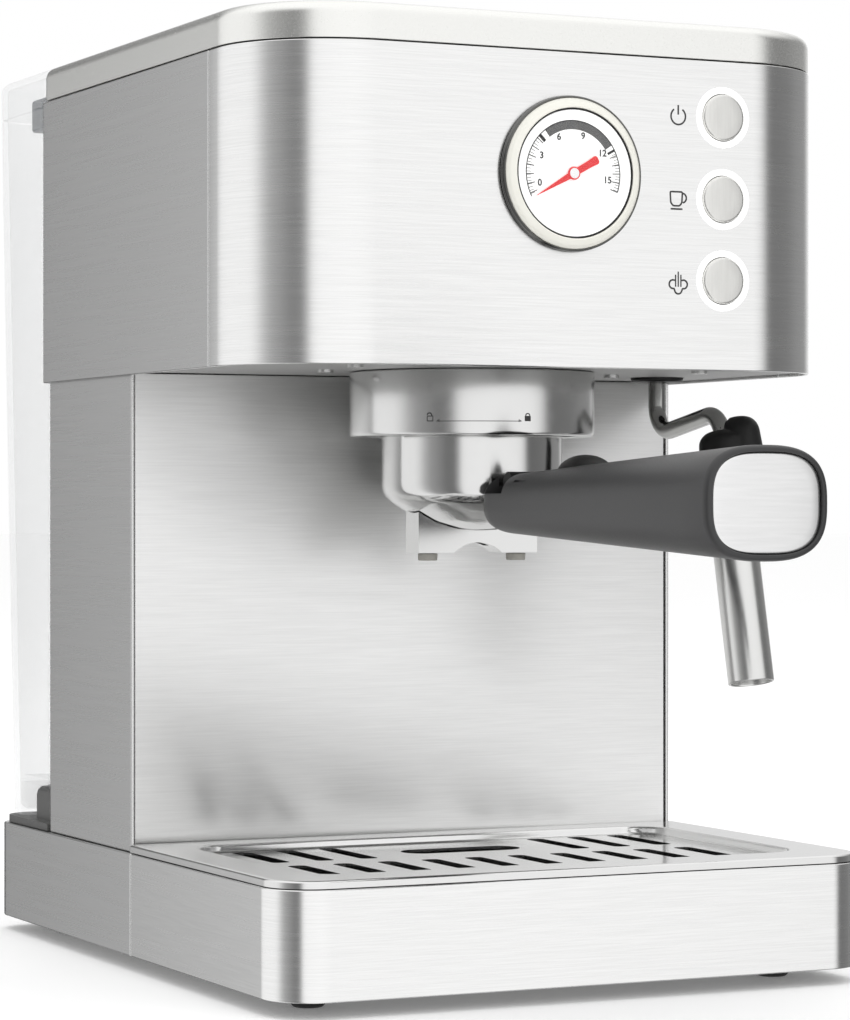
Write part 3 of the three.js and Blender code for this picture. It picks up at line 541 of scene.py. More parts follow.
def line(name, points):
    """A poly curve through points in machine millimetres."""
    curve = bpy.data.curves.new(name, "CURVE")
    curve.dimensions = "3D"
    spline = curve.splines.new("POLY")
    spline.points.add(len(points) - 1)
    for target, point in zip(spline.points, points):
        target.co = (*place(*point), 1)
    made = bpy.data.objects.new(name, curve)
    bpy.context.collection.objects.link(made)
    return made


# %% A tube that follows a path
tube_tree, tube_in, tube_out = new_tree("tube", Radius=0.003, Bend=0.008)
bends = node(
    tube_tree,
    "GeometryNodeFilletCurve",
    {"Curve": tube_in.outputs["Geometry"], "Radius": tube_in.outputs["Bend"]},
    mode="POLY",
    Count=10,
)
section = node(
    tube_tree,
    "GeometryNodeCurvePrimitiveCircle",
    {"Radius": tube_in.outputs["Radius"]},
    Resolution=28,
)
skin = node(
    tube_tree,
    "GeometryNodeCurveToMesh",
    {"Curve": bends.outputs["Curve"], "Profile Curve": section.outputs["Curve"]},
    Fill_Caps=True,
)
end_tree(tube_tree, tube_out, skin.outputs["Mesh"], FINISH["wand_steel"])

# %% Rounded slots on seed points
slot_tree, slot_in, slot_out = new_tree("slots", Width=0.0038, Length=0.03, Depth=0.01, Rounding=0.0012)
slot_line = node(slot_tree, "GeometryNodeCurvePrimitiveLine", mode="DIRECTION")
slot_line.inputs["Direction"].default_value = (0, 0, 1)
slot_tree.links.new(slot_in.outputs["Depth"], slot_line.inputs["Length"])
slot_plan = node(
    slot_tree,
    "GeometryNodeCurvePrimitiveQuadrilateral",
    {"Width": slot_in.outputs["Width"], "Height": slot_in.outputs["Length"]},
)
slot_round = node(
    slot_tree,
    "GeometryNodeFilletCurve",
    {"Curve": slot_plan.outputs["Curve"], "Radius": slot_in.outputs["Rounding"]},
    mode="POLY",
    Count=5,
)
slot_solid = node(
    slot_tree,
    "GeometryNodeCurveToMesh",
    {"Curve": slot_line.outputs["Curve"], "Profile Curve": slot_round.outputs["Curve"]},
    Fill_Caps=True,
)
slot_copies = node(
    slot_tree,
    "GeometryNodeInstanceOnPoints",
    {"Points": slot_in.outputs["Geometry"], "Instance": slot_solid.outputs["Mesh"]},
)
end_tree(slot_tree, slot_out, slot_copies.outputs["Instances"], FINISH["grille_steel"])

# %% Cross-head screws on seed points
screw_tree, screw_in, screw_out = new_tree("screws", Radius=0.0026, Height=0.0016)
screw_head = node(
    screw_tree,
    "GeometryNodeMeshCylinder",
    {"Radius": screw_in.outputs["Radius"], "Depth": screw_in.outputs["Height"]},
    Vertices=28,
)
cross = node(screw_tree, "GeometryNodeMeshCube", Size=(0.0026, 0.0006, 0.003))
cross_turned = node(
    screw_tree,
    "GeometryNodeTransform",
    {"Geometry": cross.outputs["Mesh"]},
    Rotation=(0, 0, math.radians(90)),
)
cross_both = node(screw_tree, "GeometryNodeJoinGeometry")
screw_tree.links.new(cross.outputs["Mesh"], cross_both.inputs[0])
screw_tree.links.new(cross_turned.outputs["Geometry"], cross_both.inputs[0])
cross_down = node(
    screw_tree,
    "GeometryNodeTransform",
    {"Geometry": cross_both.outputs[0]},
    Translation=(0, 0, -0.0016),
)
screw_cut = node(
    screw_tree,
    "GeometryNodeMeshBoolean",
    operation="DIFFERENCE",
    solver="EXACT",
    Self_Intersection=True,
)
screw_tree.links.new(screw_head.outputs["Mesh"], screw_cut.inputs["Mesh 1"])
screw_tree.links.new(cross_down.outputs["Geometry"], screw_cut.inputs["Mesh 2"])
screw_copies = node(
    screw_tree,
    "GeometryNodeInstanceOnPoints",
    {"Points": screw_in.outputs["Geometry"], "Instance": screw_cut.outputs["Mesh"]},
)
end_tree(screw_tree, screw_out, screw_copies.outputs["Instances"], FINISH["collar_silver"])

# %% Marks round an arc, drawn flat and stood up to face the front
mark_tree, mark_in, mark_out = new_tree(
    "arc_marks", Count=10, Radius=0.015, Start=0.0, Sweep=1.0, Length=0.002, Width=0.0002, Height=0.0001
)
mark_arc = node(
    mark_tree,
    "GeometryNodeCurveArc",
    {
        "Resolution": mark_in.outputs["Count"],
        "Radius": mark_in.outputs["Radius"],
        "Start Angle": mark_in.outputs["Start"],
        "Sweep Angle": mark_in.outputs["Sweep"],
    },
    mode="RADIUS",
)
mark_points = node(
    mark_tree,
    "GeometryNodeCurveToPoints",
    {"Curve": mark_arc.outputs["Curve"]},
    mode="EVALUATED",
)
mark_size = node(
    mark_tree,
    "ShaderNodeCombineXYZ",
    {"X": mark_in.outputs["Length"], "Y": mark_in.outputs["Width"], "Z": mark_in.outputs["Height"]},
)
mark_bar = node(mark_tree, "GeometryNodeMeshCube", {"Size": mark_size.outputs["Vector"]})
mark_place = node(mark_tree, "GeometryNodeInputPosition")
mark_aim = node(
    mark_tree, "FunctionNodeAlignRotationToVector", {"Vector": mark_place.outputs["Position"]}, axis="X"
)
mark_copies = node(
    mark_tree,
    "GeometryNodeInstanceOnPoints",
    {
        "Points": mark_points.outputs["Points"],
        "Instance": mark_bar.outputs["Mesh"],
        "Rotation": mark_aim.outputs["Rotation"],
    },
)
mark_up = node(
    mark_tree,
    "GeometryNodeTransform",
    {"Geometry": mark_copies.outputs["Instances"]},
    Rotation=(math.radians(90), 0, 0),
)
end_tree(mark_tree, mark_out, mark_up.outputs["Geometry"], FINISH["dial_print"])
print("node trees:", [t.name for t in bpy.data.node_groups])

# %% [markdown]
# ## Folded sheet steel
#
# The base, the column and the head are clad in sheet a little over a millimetre thick. Each front
# sheet is one strip folded round both front corners, and the side sheets meet it at an upright seam.
# A strip is drawn as a plan, a rounded outline and the same outline one sheet further in, and raised.

# %% Cladding
SHEET = 1.2


def half_of(points, seam, side):
    """The run of an outline in front of a seam (side -1) or behind it (side 1)."""
    reach = max(x for x, _ in points)
    kept = [p for p in points if (p[1] - seam) * side > 0.01]
    return [(reach * side, seam), *kept, (-reach * side, seam)]


def strip(name, sizes, seam, side, low, high):
    half, front, rear, front_radius, rear_radius = sizes
    inner = (half - SHEET, front + SHEET, rear - SHEET, front_radius - SHEET, max(rear_radius - SHEET, 0.5))
    plan = half_of(outline(*sizes, steps=24), seam, side)
    plan += reversed(half_of(outline(*inner, steps=24), seam, side))
    return prism(name, plan, low, high)


HEAD_REAR = measured("head_rear_shell")[1].y
HEAD_CORNER, BASE_CORNER = 37, 16
head_sizes = (HALF, 0, HEAD_REAR, HEAD_CORNER, 3)
base_sizes = (HALF, BASE_FRONT, BASE_REAR, BASE_CORNER, 12)
head_seams = (measured("head_front_wrap")[1].y, measured("head_rear_shell")[0].y)
base_seams = (measured("base_front_wrap")[1].y, measured("base_rear_wrap")[0].y)

GAUGE_Z = (measured("gauge_body")[0].z + measured("gauge_body")[1].z) / 2
BUTTONS = {}
for use in ("steam", "brew", "power"):
    low, high = measured(f"button_{use}")
    BUTTONS[use] = ((low.x + high.x) / 2, (low.z + high.z) / 2)

GAUGE_HOLE, BUTTON_HOLE = 21.6, 9.6
GLAND_AT = (-60, 0, 22)
head_front = strip("head_front_cladding", head_sizes, head_seams[0], -1, HEAD_BOTTOM, HEAD_TOP)
cutters = [round_bar("hole", GAUGE_HOLE, -5, 8, (0, 0, GAUGE_Z), "y")]
for x, z in BUTTONS.values():
    cutters.append(round_bar("hole", BUTTON_HOLE, -5, 8, (x, 0, z), "y", 64))
carve(rounded(head_front, 0.45, 3), *cutters)
finish(evened(head_front), "front_steel", "machine", ["head_front_wrap"])

head_sides = strip("head_side_cladding", head_sizes, head_seams[1], 1, HEAD_BOTTOM, HEAD_TOP)
knob_low, knob_high = measured("steam_knob")
KNOB_Y, KNOB_Z = (knob_low.y + knob_high.y) / 2, (knob_low.z + knob_high.z) / 2
shaft_hole = round_bar("hole", 5, 90, 110, (0, KNOB_Y, KNOB_Z), "x", 48)
carve(rounded(head_sides, 0.45, 3), shaft_hole)
finish(evened(head_sides), "side_steel", "machine", ["head_rear_shell"])

base_front = strip("base_front_cladding", base_sizes, base_seams[0], -1, BASE_BOTTOM, BASE_TOP)
finish(soften(base_front, 0.45, 3), "front_steel", "machine", ["base_front_wrap"])

base_sides = strip("base_side_cladding", base_sizes, base_seams[1], 1, BASE_BOTTOM, BASE_TOP)
gland_hole = round_bar("hole", 5.2, 230, 260, GLAND_AT, "y", 48)
carve(rounded(base_sides, 0.45, 3), gland_hole)
finish(evened(base_sides), "side_steel", "machine", ["base_rear_wrap"])

column_low, column_high = measured("column_shell")
column_sizes = (column_high.x, column_low.y - 30, column_high.y, 1.5, 3)
column = strip("column_cladding", column_sizes, column_low.y, 1, column_low.z - 0.2, column_high.z)
finish(soften(column, 0.4, 3), "side_steel", "machine", ["column_shell"])

splash_low, splash_high = measured("splash_plate")
splash_plan = outline(splash_high.x, splash_low.y, splash_high.y, 0.2, 0.2, 2)
splash = prism("splash_plate_steel", splash_plan, splash_low.z, splash_high.z)
finish(soften(splash, 0.3), "splash_steel", "machine", ["splash_plate"])

# %% [markdown]
# ## Top cover and cup plate
#
# The cover is a silver moulding whose top edge rolls over in a soft curve. A stack of outlines, each
# a little further in and higher than the last, gives that roll exactly. The same stack then steps
# down into the shallow seat of the cup plate.

# %% Cover with a rolled edge
COVER_TOP = measured("top_cover")[1].z
COVER_SEAT = measured("top_cover")[0].z
plate_low, plate_high = measured("cup_plate")


def rolled_rings(plan_at, low, top, roll, steps=8):
    """Rings from a level bottom up a wall and over a rounded top edge."""
    rings = [[(x, y, low) for x, y in plan_at(0)]]
    for i in range(steps + 1):
        angle = math.radians(90 * i / steps)
        inset, z = roll * (1 - math.cos(angle)), top - roll * (1 - math.sin(angle))
        rings.append([(x, y, z) for x, y in plan_at(inset)])
    return rings


def head_plan(inset):
    rear_radius = max(6 - inset, 1.5)
    return outline(HALF - inset, inset, HEAD_REAR - inset, HEAD_CORNER - inset, rear_radius, 20)


def plate_plan(grow, z):
    half, front, rear = plate_high.x + grow, plate_low.y - grow, plate_high.y + grow
    return [(x, y, z) for x, y in outline(half, front, rear, 9.6 + grow, 9.6 + grow, 20)]


cover_rings = rolled_rings(lambda inset: head_plan(inset + 0.2), COVER_SEAT, COVER_TOP, 4)
cover_rings += [plate_plan(0.9, COVER_TOP), plate_plan(0.4, COVER_TOP - 0.4)]
cover_rings.append(plate_plan(0.4, COVER_TOP - 1.6))
cover = smooth(loft("cover_moulding", cover_rings), 40)
finish(soften(cover, 0.3, 2, 60), "cover_silver", "machine", ["top_cover"])

cup_plate = loft("cup_plate_steel", [plate_plan(0, plate_low.z), plate_plan(0, plate_high.z)])
slot_seeds = seeds("plate_slots", [((i - 3) * 22, 100, plate_low.z - 2) for i in range(7)])
plate_slots = grow(
    "plate_slots", slot_tree, slot_seeds,
    Width=0.003, Length=0.09, Depth=0.006, Rounding=0.0014,
)
carve(rounded(cup_plate, 0.25), plate_slots)
finish(evened(cup_plate), "grille_steel", "machine", ["cup_plate"])

# %% [markdown]
# ## Drip grille
#
# The grille is a pressed plate: a level rim with a soft outer edge, a shallow dish, and slots that
# let drips through. Rings make the pressed shape, and the slot tree makes all its cutters at once.

# %% Pressed plate
grille_high = measured("drip_grille")[1]
DISH = 38.5
GRILLE_TOP = grille_high.z
RIM_BOTTOM = GRILLE_TOP - 2.4
EDGE_GAP = 0.8


def rim_plan(inset, z):
    inset += EDGE_GAP
    rear = grille_high.y + EDGE_GAP - inset
    plan = outline(HALF - inset, BASE_FRONT + inset, rear, BASE_CORNER - inset, 1.6, 20)
    return [(x, y, z) for x, y in plan]


def dish_plan(grow, z):
    return [(x, y, z) for x, y in outline(86 + grow, 4 - grow, 103 + grow, 12 + grow, 12 + grow, 20)]


grille_rings = [dish_plan(0.6, DISH - 1), dish_plan(0.9, RIM_BOTTOM), rim_plan(0, RIM_BOTTOM)]
grille_rings += [rim_plan(1.1 * (1 - math.cos(a)), GRILLE_TOP - 1.1 * (1 - math.sin(a)))
                 for a in (math.radians(15 * i) for i in range(1, 7))]
grille_rings += [dish_plan(0.9, GRILLE_TOP), dish_plan(0.4, GRILLE_TOP - 0.25)]
grille_rings.append(dish_plan(0.05, GRILLE_TOP - 0.9))
grille_rings += [dish_plan(-0.2, DISH + 0.5), dish_plan(-0.6, DISH + 0.1), dish_plan(-1.2, DISH)]
grille = loft("drip_grille_plate", grille_rings)

SLOT_WIDTH = 0.0062
columns = [(i - 4.5) * 15.4 for i in range(10)]
front_slots = grow(
    "front_slots", slot_tree, seeds("s", [(x, 38.5, DISH - 4) for x in columns]),
    Width=SLOT_WIDTH, Length=0.030, Depth=0.008, Rounding=0.0022,
)
outer_columns = [x for x in columns if abs(x) > 35]
rear_slots = grow(
    "rear_slots", slot_tree, seeds("s", [(x, 81.75, DISH - 4) for x in outer_columns]),
    Width=SLOT_WIDTH, Length=0.0365, Depth=0.008, Rounding=0.0022,
)
finger_plan = outline(21, 70, 84, 6.99, 6.99, 12)
finger_hole = prism("finger_hole", finger_plan, DISH - 4, DISH + 4)
carve(grille, front_slots, rear_slots, finger_hole)
finish(evened(grille, 40), "grille_steel", "grille", ["drip_grille"])

# %% [markdown]
# ## Pressure gauge
#
# The gauge has a chrome rim in steps, its dark look painted into its colour as dark reflections, with a cream
# band inside it, a white dial with a painted glow under a clear lens, and a flat red needle with a white hub.
# The scale is printed, about a tenth of a millimetre
# thick: the arc-marks tree makes its ticks, and its line and broad grey band are lofted.

# %% Rim, dial and lens
gauge_at = (0, 0, GAUGE_Z)
rim_profile = [
    (21.2, 3.2), (19.9, 3.2), (19.9, -1.6), (23.35, -1.6), (23.35, -2.3), (23.7, -2.5), (24.0, -2.0),
    (24.15, -1.3), (23.95, -1.1), (24.2, -0.9), (24.2, -0.4), (21.2, -0.4),
]
gauge_rim = turned("gauge_rim", eased(rim_profile, 0.15, 3, closed=True), gauge_at, "y", 128)
# The rim's dark colour is painted. It stands in for the dark reflections on bright chrome.
finish(smooth(gauge_rim, 40), "chrome_painted_dark", "machine", ["gauge_bezel"])
band_profile = [(23.3, -1.65), (23.3, -2.35), (22.2, -3.45), (20.6, -4.2), (20.15, -4.0), (20.15, -1.65)]
gauge_band = turned("gauge_inner_band", eased(band_profile, 0.25, 3, closed=True), gauge_at, "y", 128)
finish(smooth(gauge_band, 60), "rim_cream", "machine")
seal_profile = [(20.08, -1.7), (20.08, -3.8), (19.72, -3.8), (19.72, -1.7)]
seal = turned("gauge_seal", eased(seal_profile, 0.1, 2, closed=True), gauge_at, "y", 96)
finish(smooth(seal, 60), "black_plastic", "machine")

DIAL_Y = measured("gauge_body")[0].y - 0.6
case_profile = [
    (0, 22), (19, 22), (19, 1), (19.55, 1), (19.55, -3.5), (19.3, -3.5), (18.9, DIAL_Y), (0, DIAL_Y),
]
dial = turned("gauge_case", eased(case_profile, 0.15), gauge_at, "y", 96)
# The case's face and inner wall carry the dial finish's painted glow.
finish(smooth(dial, 30), "dial_white", "machine", ["gauge_body"])

lens_profile = [(0, -4.1), (10, -4.05), (19.5, -3.95), (19.5, -3.65), (0, -3.65)]
lens = turned("gauge_window", lens_profile, gauge_at, "y", 96)
finish(smooth(lens, 30), "lens_clear", "machine", ["gauge_lens"])

# %% Scale
SCALE_START, SCALE_END, SCALE_RADIUS = 207.8, -18.9, 16.3


def marks(name, count, start, sweep, radius, length, width, material):
    """A run of marks on the dial. Angles are in degrees, anticlockwise from three o'clock."""
    made = grow(
        name, mark_tree, seeds("s", [(0, 0, 0)]),
        Count=count, Radius=radius * MM, Start=math.radians(start), Sweep=math.radians(sweep),
        Length=length * MM, Width=width * MM, Height=0.0001,
    )
    made.data.transform(Matrix.Translation(place(0, DIAL_Y - 0.04, GAUGE_Z)))
    made.data.materials.clear()
    made.data.materials.append(material)
    return made


def arc_band(name, start, end, inner, outer, material, steps=72):
    """A flat printed band between two radii."""
    rings = []
    for i in range(steps + 1):
        angle = math.radians(start + (end - start) * i / steps)
        c, s = math.cos(angle), math.sin(angle)
        near, far = DIAL_Y + 0.02, DIAL_Y - 0.09
        corners = [(inner, near), (outer, near), (outer, far), (inner, far)]
        rings.append([(r * c, y, GAUGE_Z + r * s) for r, y in corners])
    band = loft(name, rings)
    band.data.materials.append(material)
    return band


print_black, print_grey = FINISH["dial_print"], FINISH["dial_grey"]
scale_parts = [
    arc_band("scale_line", SCALE_START, SCALE_END, SCALE_RADIUS - 0.15, SCALE_RADIUS + 0.15, print_black),
    marks("fine", 19, 205, -65, 15.5, 1.6, 0.14, print_black),
    marks("coarse", 7, 204, -64, 15.0, 2.6, 0.26, print_black),
    marks("bold", 2, 136.5, -1.5, 15.0, 2.7, 0.7, print_grey),
    marks("fine_end", 14, 24, -42, 15.5, 1.6, 0.14, print_black),
    marks("coarse_end", 5, 22, -41, 15.0, 2.6, 0.26, print_black),
    marks("bold_end", 2, 28.8, -1.0, 15.0, 2.7, 0.5, print_grey),
]
finish(merged("gauge_scale", *scale_parts), "dial_print", "machine")
finish(arc_band("gauge_band", 127, 34.5, 13.6, 16.4, print_grey), "dial_grey", "machine")


# %% Numbers on the dial
def flat_text(name, words, size, thickness, tip):
    """Text as a thin mesh, stood up to face the front, centred on a point."""
    curve = bpy.data.curves.new(name, "FONT")
    curve.body, curve.size, curve.extrude = words, size * MM, thickness * MM / 2
    curve.align_x, curve.align_y = "CENTER", "CENTER"
    curve.offset = size * MM * 0.025
    source = bpy.data.objects.new(name, curve)
    bpy.context.collection.objects.link(source)
    depsgraph = bpy.context.evaluated_depsgraph_get()
    depsgraph.update()
    mesh = bpy.data.meshes.new_from_object(source.evaluated_get(depsgraph))
    bpy.data.objects.remove(source)
    mesh.transform(Matrix.Translation(place(*tip)) @ Matrix.Rotation(math.radians(90), 4, "X"))
    made = bpy.data.objects.new(name, mesh)
    bpy.context.collection.objects.link(made)
    return made


numbers = []
for i, value in enumerate((0, 3, 6, 9, 12, 15)):
    angle = math.radians(196 + (-8 - 196) * i / 5)
    spot = (12.1 * math.cos(angle), DIAL_Y - 0.03, GAUGE_Z + 12.1 * math.sin(angle))
    numbers.append(flat_text(f"n{value}", str(value), 2.9, 0.1, spot))
finish(merged("gauge_numbers", *numbers), "dial_print", "machine")

# %% Needle
NEEDLE_REST = math.radians(SCALE_START + 1.6)
blade_plan = [(15.6, 0.0), (1.4, 1.0), (-6.8, 1.15), (-9.6, 1.5), (-9.6, -1.5), (-6.8, -1.15), (1.4, -1.0)]
blade_plan = eased(blade_plan, 1.2, 4, closed=True)
c, s = math.cos(NEEDLE_REST), math.sin(NEEDLE_REST)
blade_rings = []
for y in (DIAL_Y - 0.4, DIAL_Y - 0.75):
    blade_rings.append([(x * c - v * s, y, GAUGE_Z + x * s + v * c) for x, v in blade_plan])
blade = loft("blade", blade_rings)
ring_profile = [(0, DIAL_Y - 0.2), (2.05, DIAL_Y - 0.2), (2.05, DIAL_Y - 0.9), (0, DIAL_Y - 0.9)]
collar_ring = turned("ring", eased(ring_profile, 0.2), gauge_at, "y", 48)
needle = merged("needle_blade", blade, collar_ring)
finish(smooth(needle, 35), "needle_red", "needle", ["gauge_needle"])
hub_profile = [(0, DIAL_Y - 0.8), (1.6, DIAL_Y - 0.8), (1.6, DIAL_Y - 1.0), (0, DIAL_Y - 1.05)]
hub = turned("needle_hub", eased(hub_profile, 0.15), gauge_at, "y", 48)
finish(smooth(hub, 35), "hub_white", "needle")

# %% [markdown]
# ## Buttons
#
# Each button is a brushed nickel disc with a turned edge, in a white ring that lights up. The ring is
# almost level with the steel, and the disc stands a millimetre proud of it. A thin grey seat shows in
# the gap between the two.

# %% Caps and rings
for use, (x, z) in BUTTONS.items():
    cap_profile = [(0, -1.25), (4, -1.22), (6.7, -1.1), (7.25, -0.7), (7.25, 5), (0, 5)]
    cap = turned(f"button_cap_{use}", eased(cap_profile, 0.3), (x, 0, z), "y", 96)
    finish(smooth(cap, 30), "button_nickel", f"{use}_button", [f"button_{use}"])
    ring_profile = [(7.62, 4), (7.62, -0.35), (9.45, -0.25), (9.55, -0.05), (9.55, 4)]
    ring = turned(f"button_ring_{use}", eased(ring_profile, 0.15, 3, closed=True), (x, 0, z), "y", 96)
    finish(smooth(ring, 40), "ring_light", "machine", [f"light_ring_{use}"])
    seat_profile = [(7.3, 4), (7.3, 0.6), (7.6, 0.6), (7.6, 4)]
    seat = turned(f"button_seat_{use}", seat_profile, (x, 0, z), "y", 96)
    finish(smooth(seat, 40), "grey_plastic", "machine")

# %% [markdown]
# ## Printed symbols
#
# The symbols are thin dark lines. A stroke is a ribbon round a line of points, a few hundredths of a
# millimetre thick, laid on the surface by a function: flat for the head, wrapped for the round collar.

# %% Strokes
def stroke(name, points, width, surface, closed=False):
    """A ribbon along flat points. surface(u, v, height) gives the place of each point."""
    count = len(points)
    rings = []
    for i, point in enumerate(points):
        here = Vector(point)
        before = Vector(points[i - 1] if closed or i else points[i])
        after = Vector(points[(i + 1) % count] if closed or i < count - 1 else points[i])
        along = (after - before).normalized()
        across = Vector((-along.y, along.x)) * width / 2
        left, right = here + across, here - across
        rings.append([surface(left.x, left.y, -0.02), surface(right.x, right.y, -0.02),
                      surface(right.x, right.y, 0.05), surface(left.x, left.y, 0.05)])
    return loft(name, rings, closed=closed)


def arc(x, z, radius, start, end, steps=28):
    turn = [math.radians(start + (end - start) * i / steps) for i in range(steps + 1)]
    return [(x + radius * math.cos(a), z + radius * math.sin(a)) for a in turn]


def on_head(u, v, height):
    return (u, -height, v)


ICON_X, LINE = 38.4, 0.55
power_z, brew_z, steam_z = (BUTTONS[use][1] for use in ("power", "brew", "steam"))
symbols = [
    stroke("power", arc(ICON_X, power_z - 0.3, 2.6, 125, 415), LINE, on_head),
    stroke("power", [(ICON_X, power_z + 0.2), (ICON_X, power_z + 3.2)], LINE, on_head),
]
cup_z = brew_z - 1.0
cup_outline = [(-2.9, 2.8), (1.5, 2.8), (1.3, -0.6), (0.5, -1.6), (-1.9, -1.6), (-2.7, -0.6)]
cup_line = [(ICON_X + u, cup_z + v) for u, v in eased(cup_outline, 0.5, 4, closed=True)]
symbols.append(stroke("cup", cup_line, LINE, on_head, closed=True))
symbols.append(stroke("cup", arc(ICON_X + 1.4, cup_z + 0.9, 1.5, -80, 85), LINE, on_head))
symbols.append(stroke("cup", [(ICON_X - 2.7, cup_z - 2.6), (ICON_X + 1.5, cup_z - 2.6)], LINE, on_head))
cloud_z = steam_z - 1.7
cloud = arc(ICON_X - 1.9, cloud_z + 0.2, 1.35, 60, 285, 20) + arc(ICON_X, cloud_z - 1.5, 1.3, 195, 345, 16)
cloud += arc(ICON_X + 1.9, cloud_z + 0.2, 1.35, -105, 120, 20)
symbols.append(stroke("cloud", cloud, LINE, on_head))
for lean, top in ((-0.95, 3.2), (0, 4.2), (0.95, 3.2)):
    wisp = [(ICON_X + lean, cloud_z - 0.6), (ICON_X + lean, cloud_z + top)]
    symbols.append(stroke("wisp", wisp, LINE * 0.8, on_head))
finish(merged("head_symbols", *symbols), "dial_print", "machine")

# %% [markdown]
# ## Group and portafilter
#
# The collar is a satin ring with a bayonet inside. The portafilter below it is polished: a straight
# rim, a rounded bowl and a flat spout block with two openings. All of the round ones are turned, with
# every corner of their profile eased first.

# %% Collar and its lock symbols
group_low, group_high = measured("group_collar")
GROUP = (0, (group_low.y + group_high.y) / 2)
COLLAR_RADIUS = 40
collar_low = group_low.z
collar_profile = [
    (34.6, collar_low), (39.4, collar_low), (COLLAR_RADIUS, collar_low + 0.7),
    (COLLAR_RADIUS, group_high.z), (34.6, group_high.z),
]
collar = turned("group_collar_ring", eased(collar_profile, 0.5, 3, closed=True), (*GROUP, 0), "z", 160)
finish(smooth(collar, 40), "collar_silver", "machine", ["group_collar"])


def on_collar(u, v, height):
    """u is the distance round the collar from its front, and v is the height."""
    angle = u / COLLAR_RADIUS - math.pi / 2
    radius = COLLAR_RADIUS + height
    return (radius * math.cos(angle), GROUP[1] + radius * math.sin(angle), v)


MARK_Z = 179.6
UNLOCK_TURN = 45.5
open_u, shut_u = -COLLAR_RADIUS * math.radians(UNLOCK_TURN), 0.0
RAIL_Z = MARK_Z - 1.3
rail = [(open_u + 2.2 + (shut_u - open_u - 4.4) * i / 24, RAIL_Z) for i in range(25)]
lock_marks = [stroke("rail", rail, 0.22, on_collar)]
for tip, way in ((rail[-1], -1), (rail[0], 1)):
    barb = [(tip[0], tip[1]), (tip[0] + way * 0.9, tip[1] + 0.45), (tip[0] + way * 0.9, tip[1] - 0.1)]
    lock_marks.append(stroke("barb", barb, 0.34, on_collar, closed=True))
body_line = [(shut_u - 1.05, MARK_Z - 0.45), (shut_u + 1.05, MARK_Z - 0.45)]
lock_marks.append(stroke("shut", body_line, 1.7, on_collar))
lock_marks.append(stroke("shut", arc(shut_u, MARK_Z + 0.45, 0.7, 0, 180, 12), 0.34, on_collar))
open_line = [(-0.95, -1.25), (0.95, -1.25), (0.95, 0.3), (-0.95, 0.3)]
open_line = [(open_u + u, MARK_Z + v) for u, v in open_line]
lock_marks.append(stroke("open", open_line, 0.4, on_collar, closed=True))
lock_marks.append(stroke("open", arc(open_u - 0.2, MARK_Z + 0.55, 0.75, -10, 170, 12), 0.4, on_collar))
finish(merged("collar_symbols", *lock_marks), "dial_print", "machine")

# %% Bowl, basket and tips
bowl_profile = [
    (5, 149.9), (5, 143.8), (8, 144.1), (16, 146.5), (22.2, 150), (26.8, 152.9), (29.0, 155.4), (29.6, 158),
    (29.6, 182.4), (27.8, 182.4), (27.8, 157.7), (21, 152.6),
]
bowl = turned("bowl_shell", eased(bowl_profile, 1.2, 4, closed=True), (*GROUP, 0), "z", 144)
lug_cuts = []
for side in (0, 180):
    lug = []
    for i in range(13):
        a = math.radians(side - 17 + 34 * i / 12)
        lug.append([(r * math.cos(a) + GROUP[0], r * math.sin(a) + GROUP[1], z)
                    for r, z in ((28.7, 178.5), (33.9, 178.5), (33.9, 182.3), (28.7, 182.3))])
    lug_cuts.append(loft("lug", lug))
neck = prism("neck", [(-8, 38.2), (8, 38.2), (8, 41.5), (-8, 41.5)], 146.8, 160.4)
carve(bowl, *lug_cuts, neck, mode="UNION")
finish(smooth(bowl, 38), "bowl_steel", "portafilter", ["portafilter_bowl"])

basket_profile = [
    (0, 158.0), (22.5, 158.0), (26.4, 160.5), (26.4, 182.8), (30.2, 182.8), (30.2, 183.6), (25.6, 183.6),
    (25.6, 161), (22, 158.8), (0, 158.8),
]
basket = turned("basket_cup", eased(basket_profile, 0.5), (*GROUP, 0), "z", 96)
finish(smooth(basket, 40), "wand_steel", "portafilter", ["filter_basket"])

for side, where in ((-1, "left"), (1, "right")):
    tip_low, tip_high = measured(f"nozzle_tip_{where}")
    centre = ((tip_low.x + tip_high.x) / 2, GROUP[1], 0)
    tip_profile = [(2.2, tip_low.z), (3.1, tip_low.z), (3.25, tip_high.z), (2.2, tip_high.z)]
    tip = turned(f"spout_tip_{where}", eased(tip_profile, 0.4, 3, closed=True), centre, "z", 40)
    finish(smooth(tip, 40), "nozzle_grey", "portafilter", [f"nozzle_tip_{where}"])


# %% A softened copy of a CAD solid
def softened_copy(name, cad_node, width=0.5, segments=3, degrees=30):
    """The same shape as a CAD node, with its edges rounded."""
    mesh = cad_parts[cad_node].data.copy()
    work = bmesh.new()
    work.from_mesh(mesh)
    bmesh.ops.remove_doubles(work, verts=work.verts, dist=1e-6)
    bmesh.ops.dissolve_limit(work, angle_limit=math.radians(1), verts=work.verts, edges=work.edges)
    work.to_mesh(mesh)
    work.free()
    piece = bpy.data.objects.new(name, mesh)
    bpy.context.collection.objects.link(piece)
    return soften(piece, width, segments, degrees)


spout = softened_copy("spout_casting", "spout_block", 0.5)
finish(spout, "collar_silver", "portafilter", ["spout_block"])

# %% [markdown]
# ## Handle
#
# The handle is a dark moulding whose section is a rounded square that grows from the bowl to its end.
# A superellipse gives that section, and rings of it along the handle are lofted into one smooth skin.
# A slightly domed steel plate closes the end, inside a thin dark rim.

# %% Grip
grip_low, grip_high = measured("handle_grip")
HANDLE_Z, ROOT, END = 152.2, grip_high.y, grip_low.y
ROOT_HALF, END_HALF = (13.4, 9.2), (20.1, 16.3)


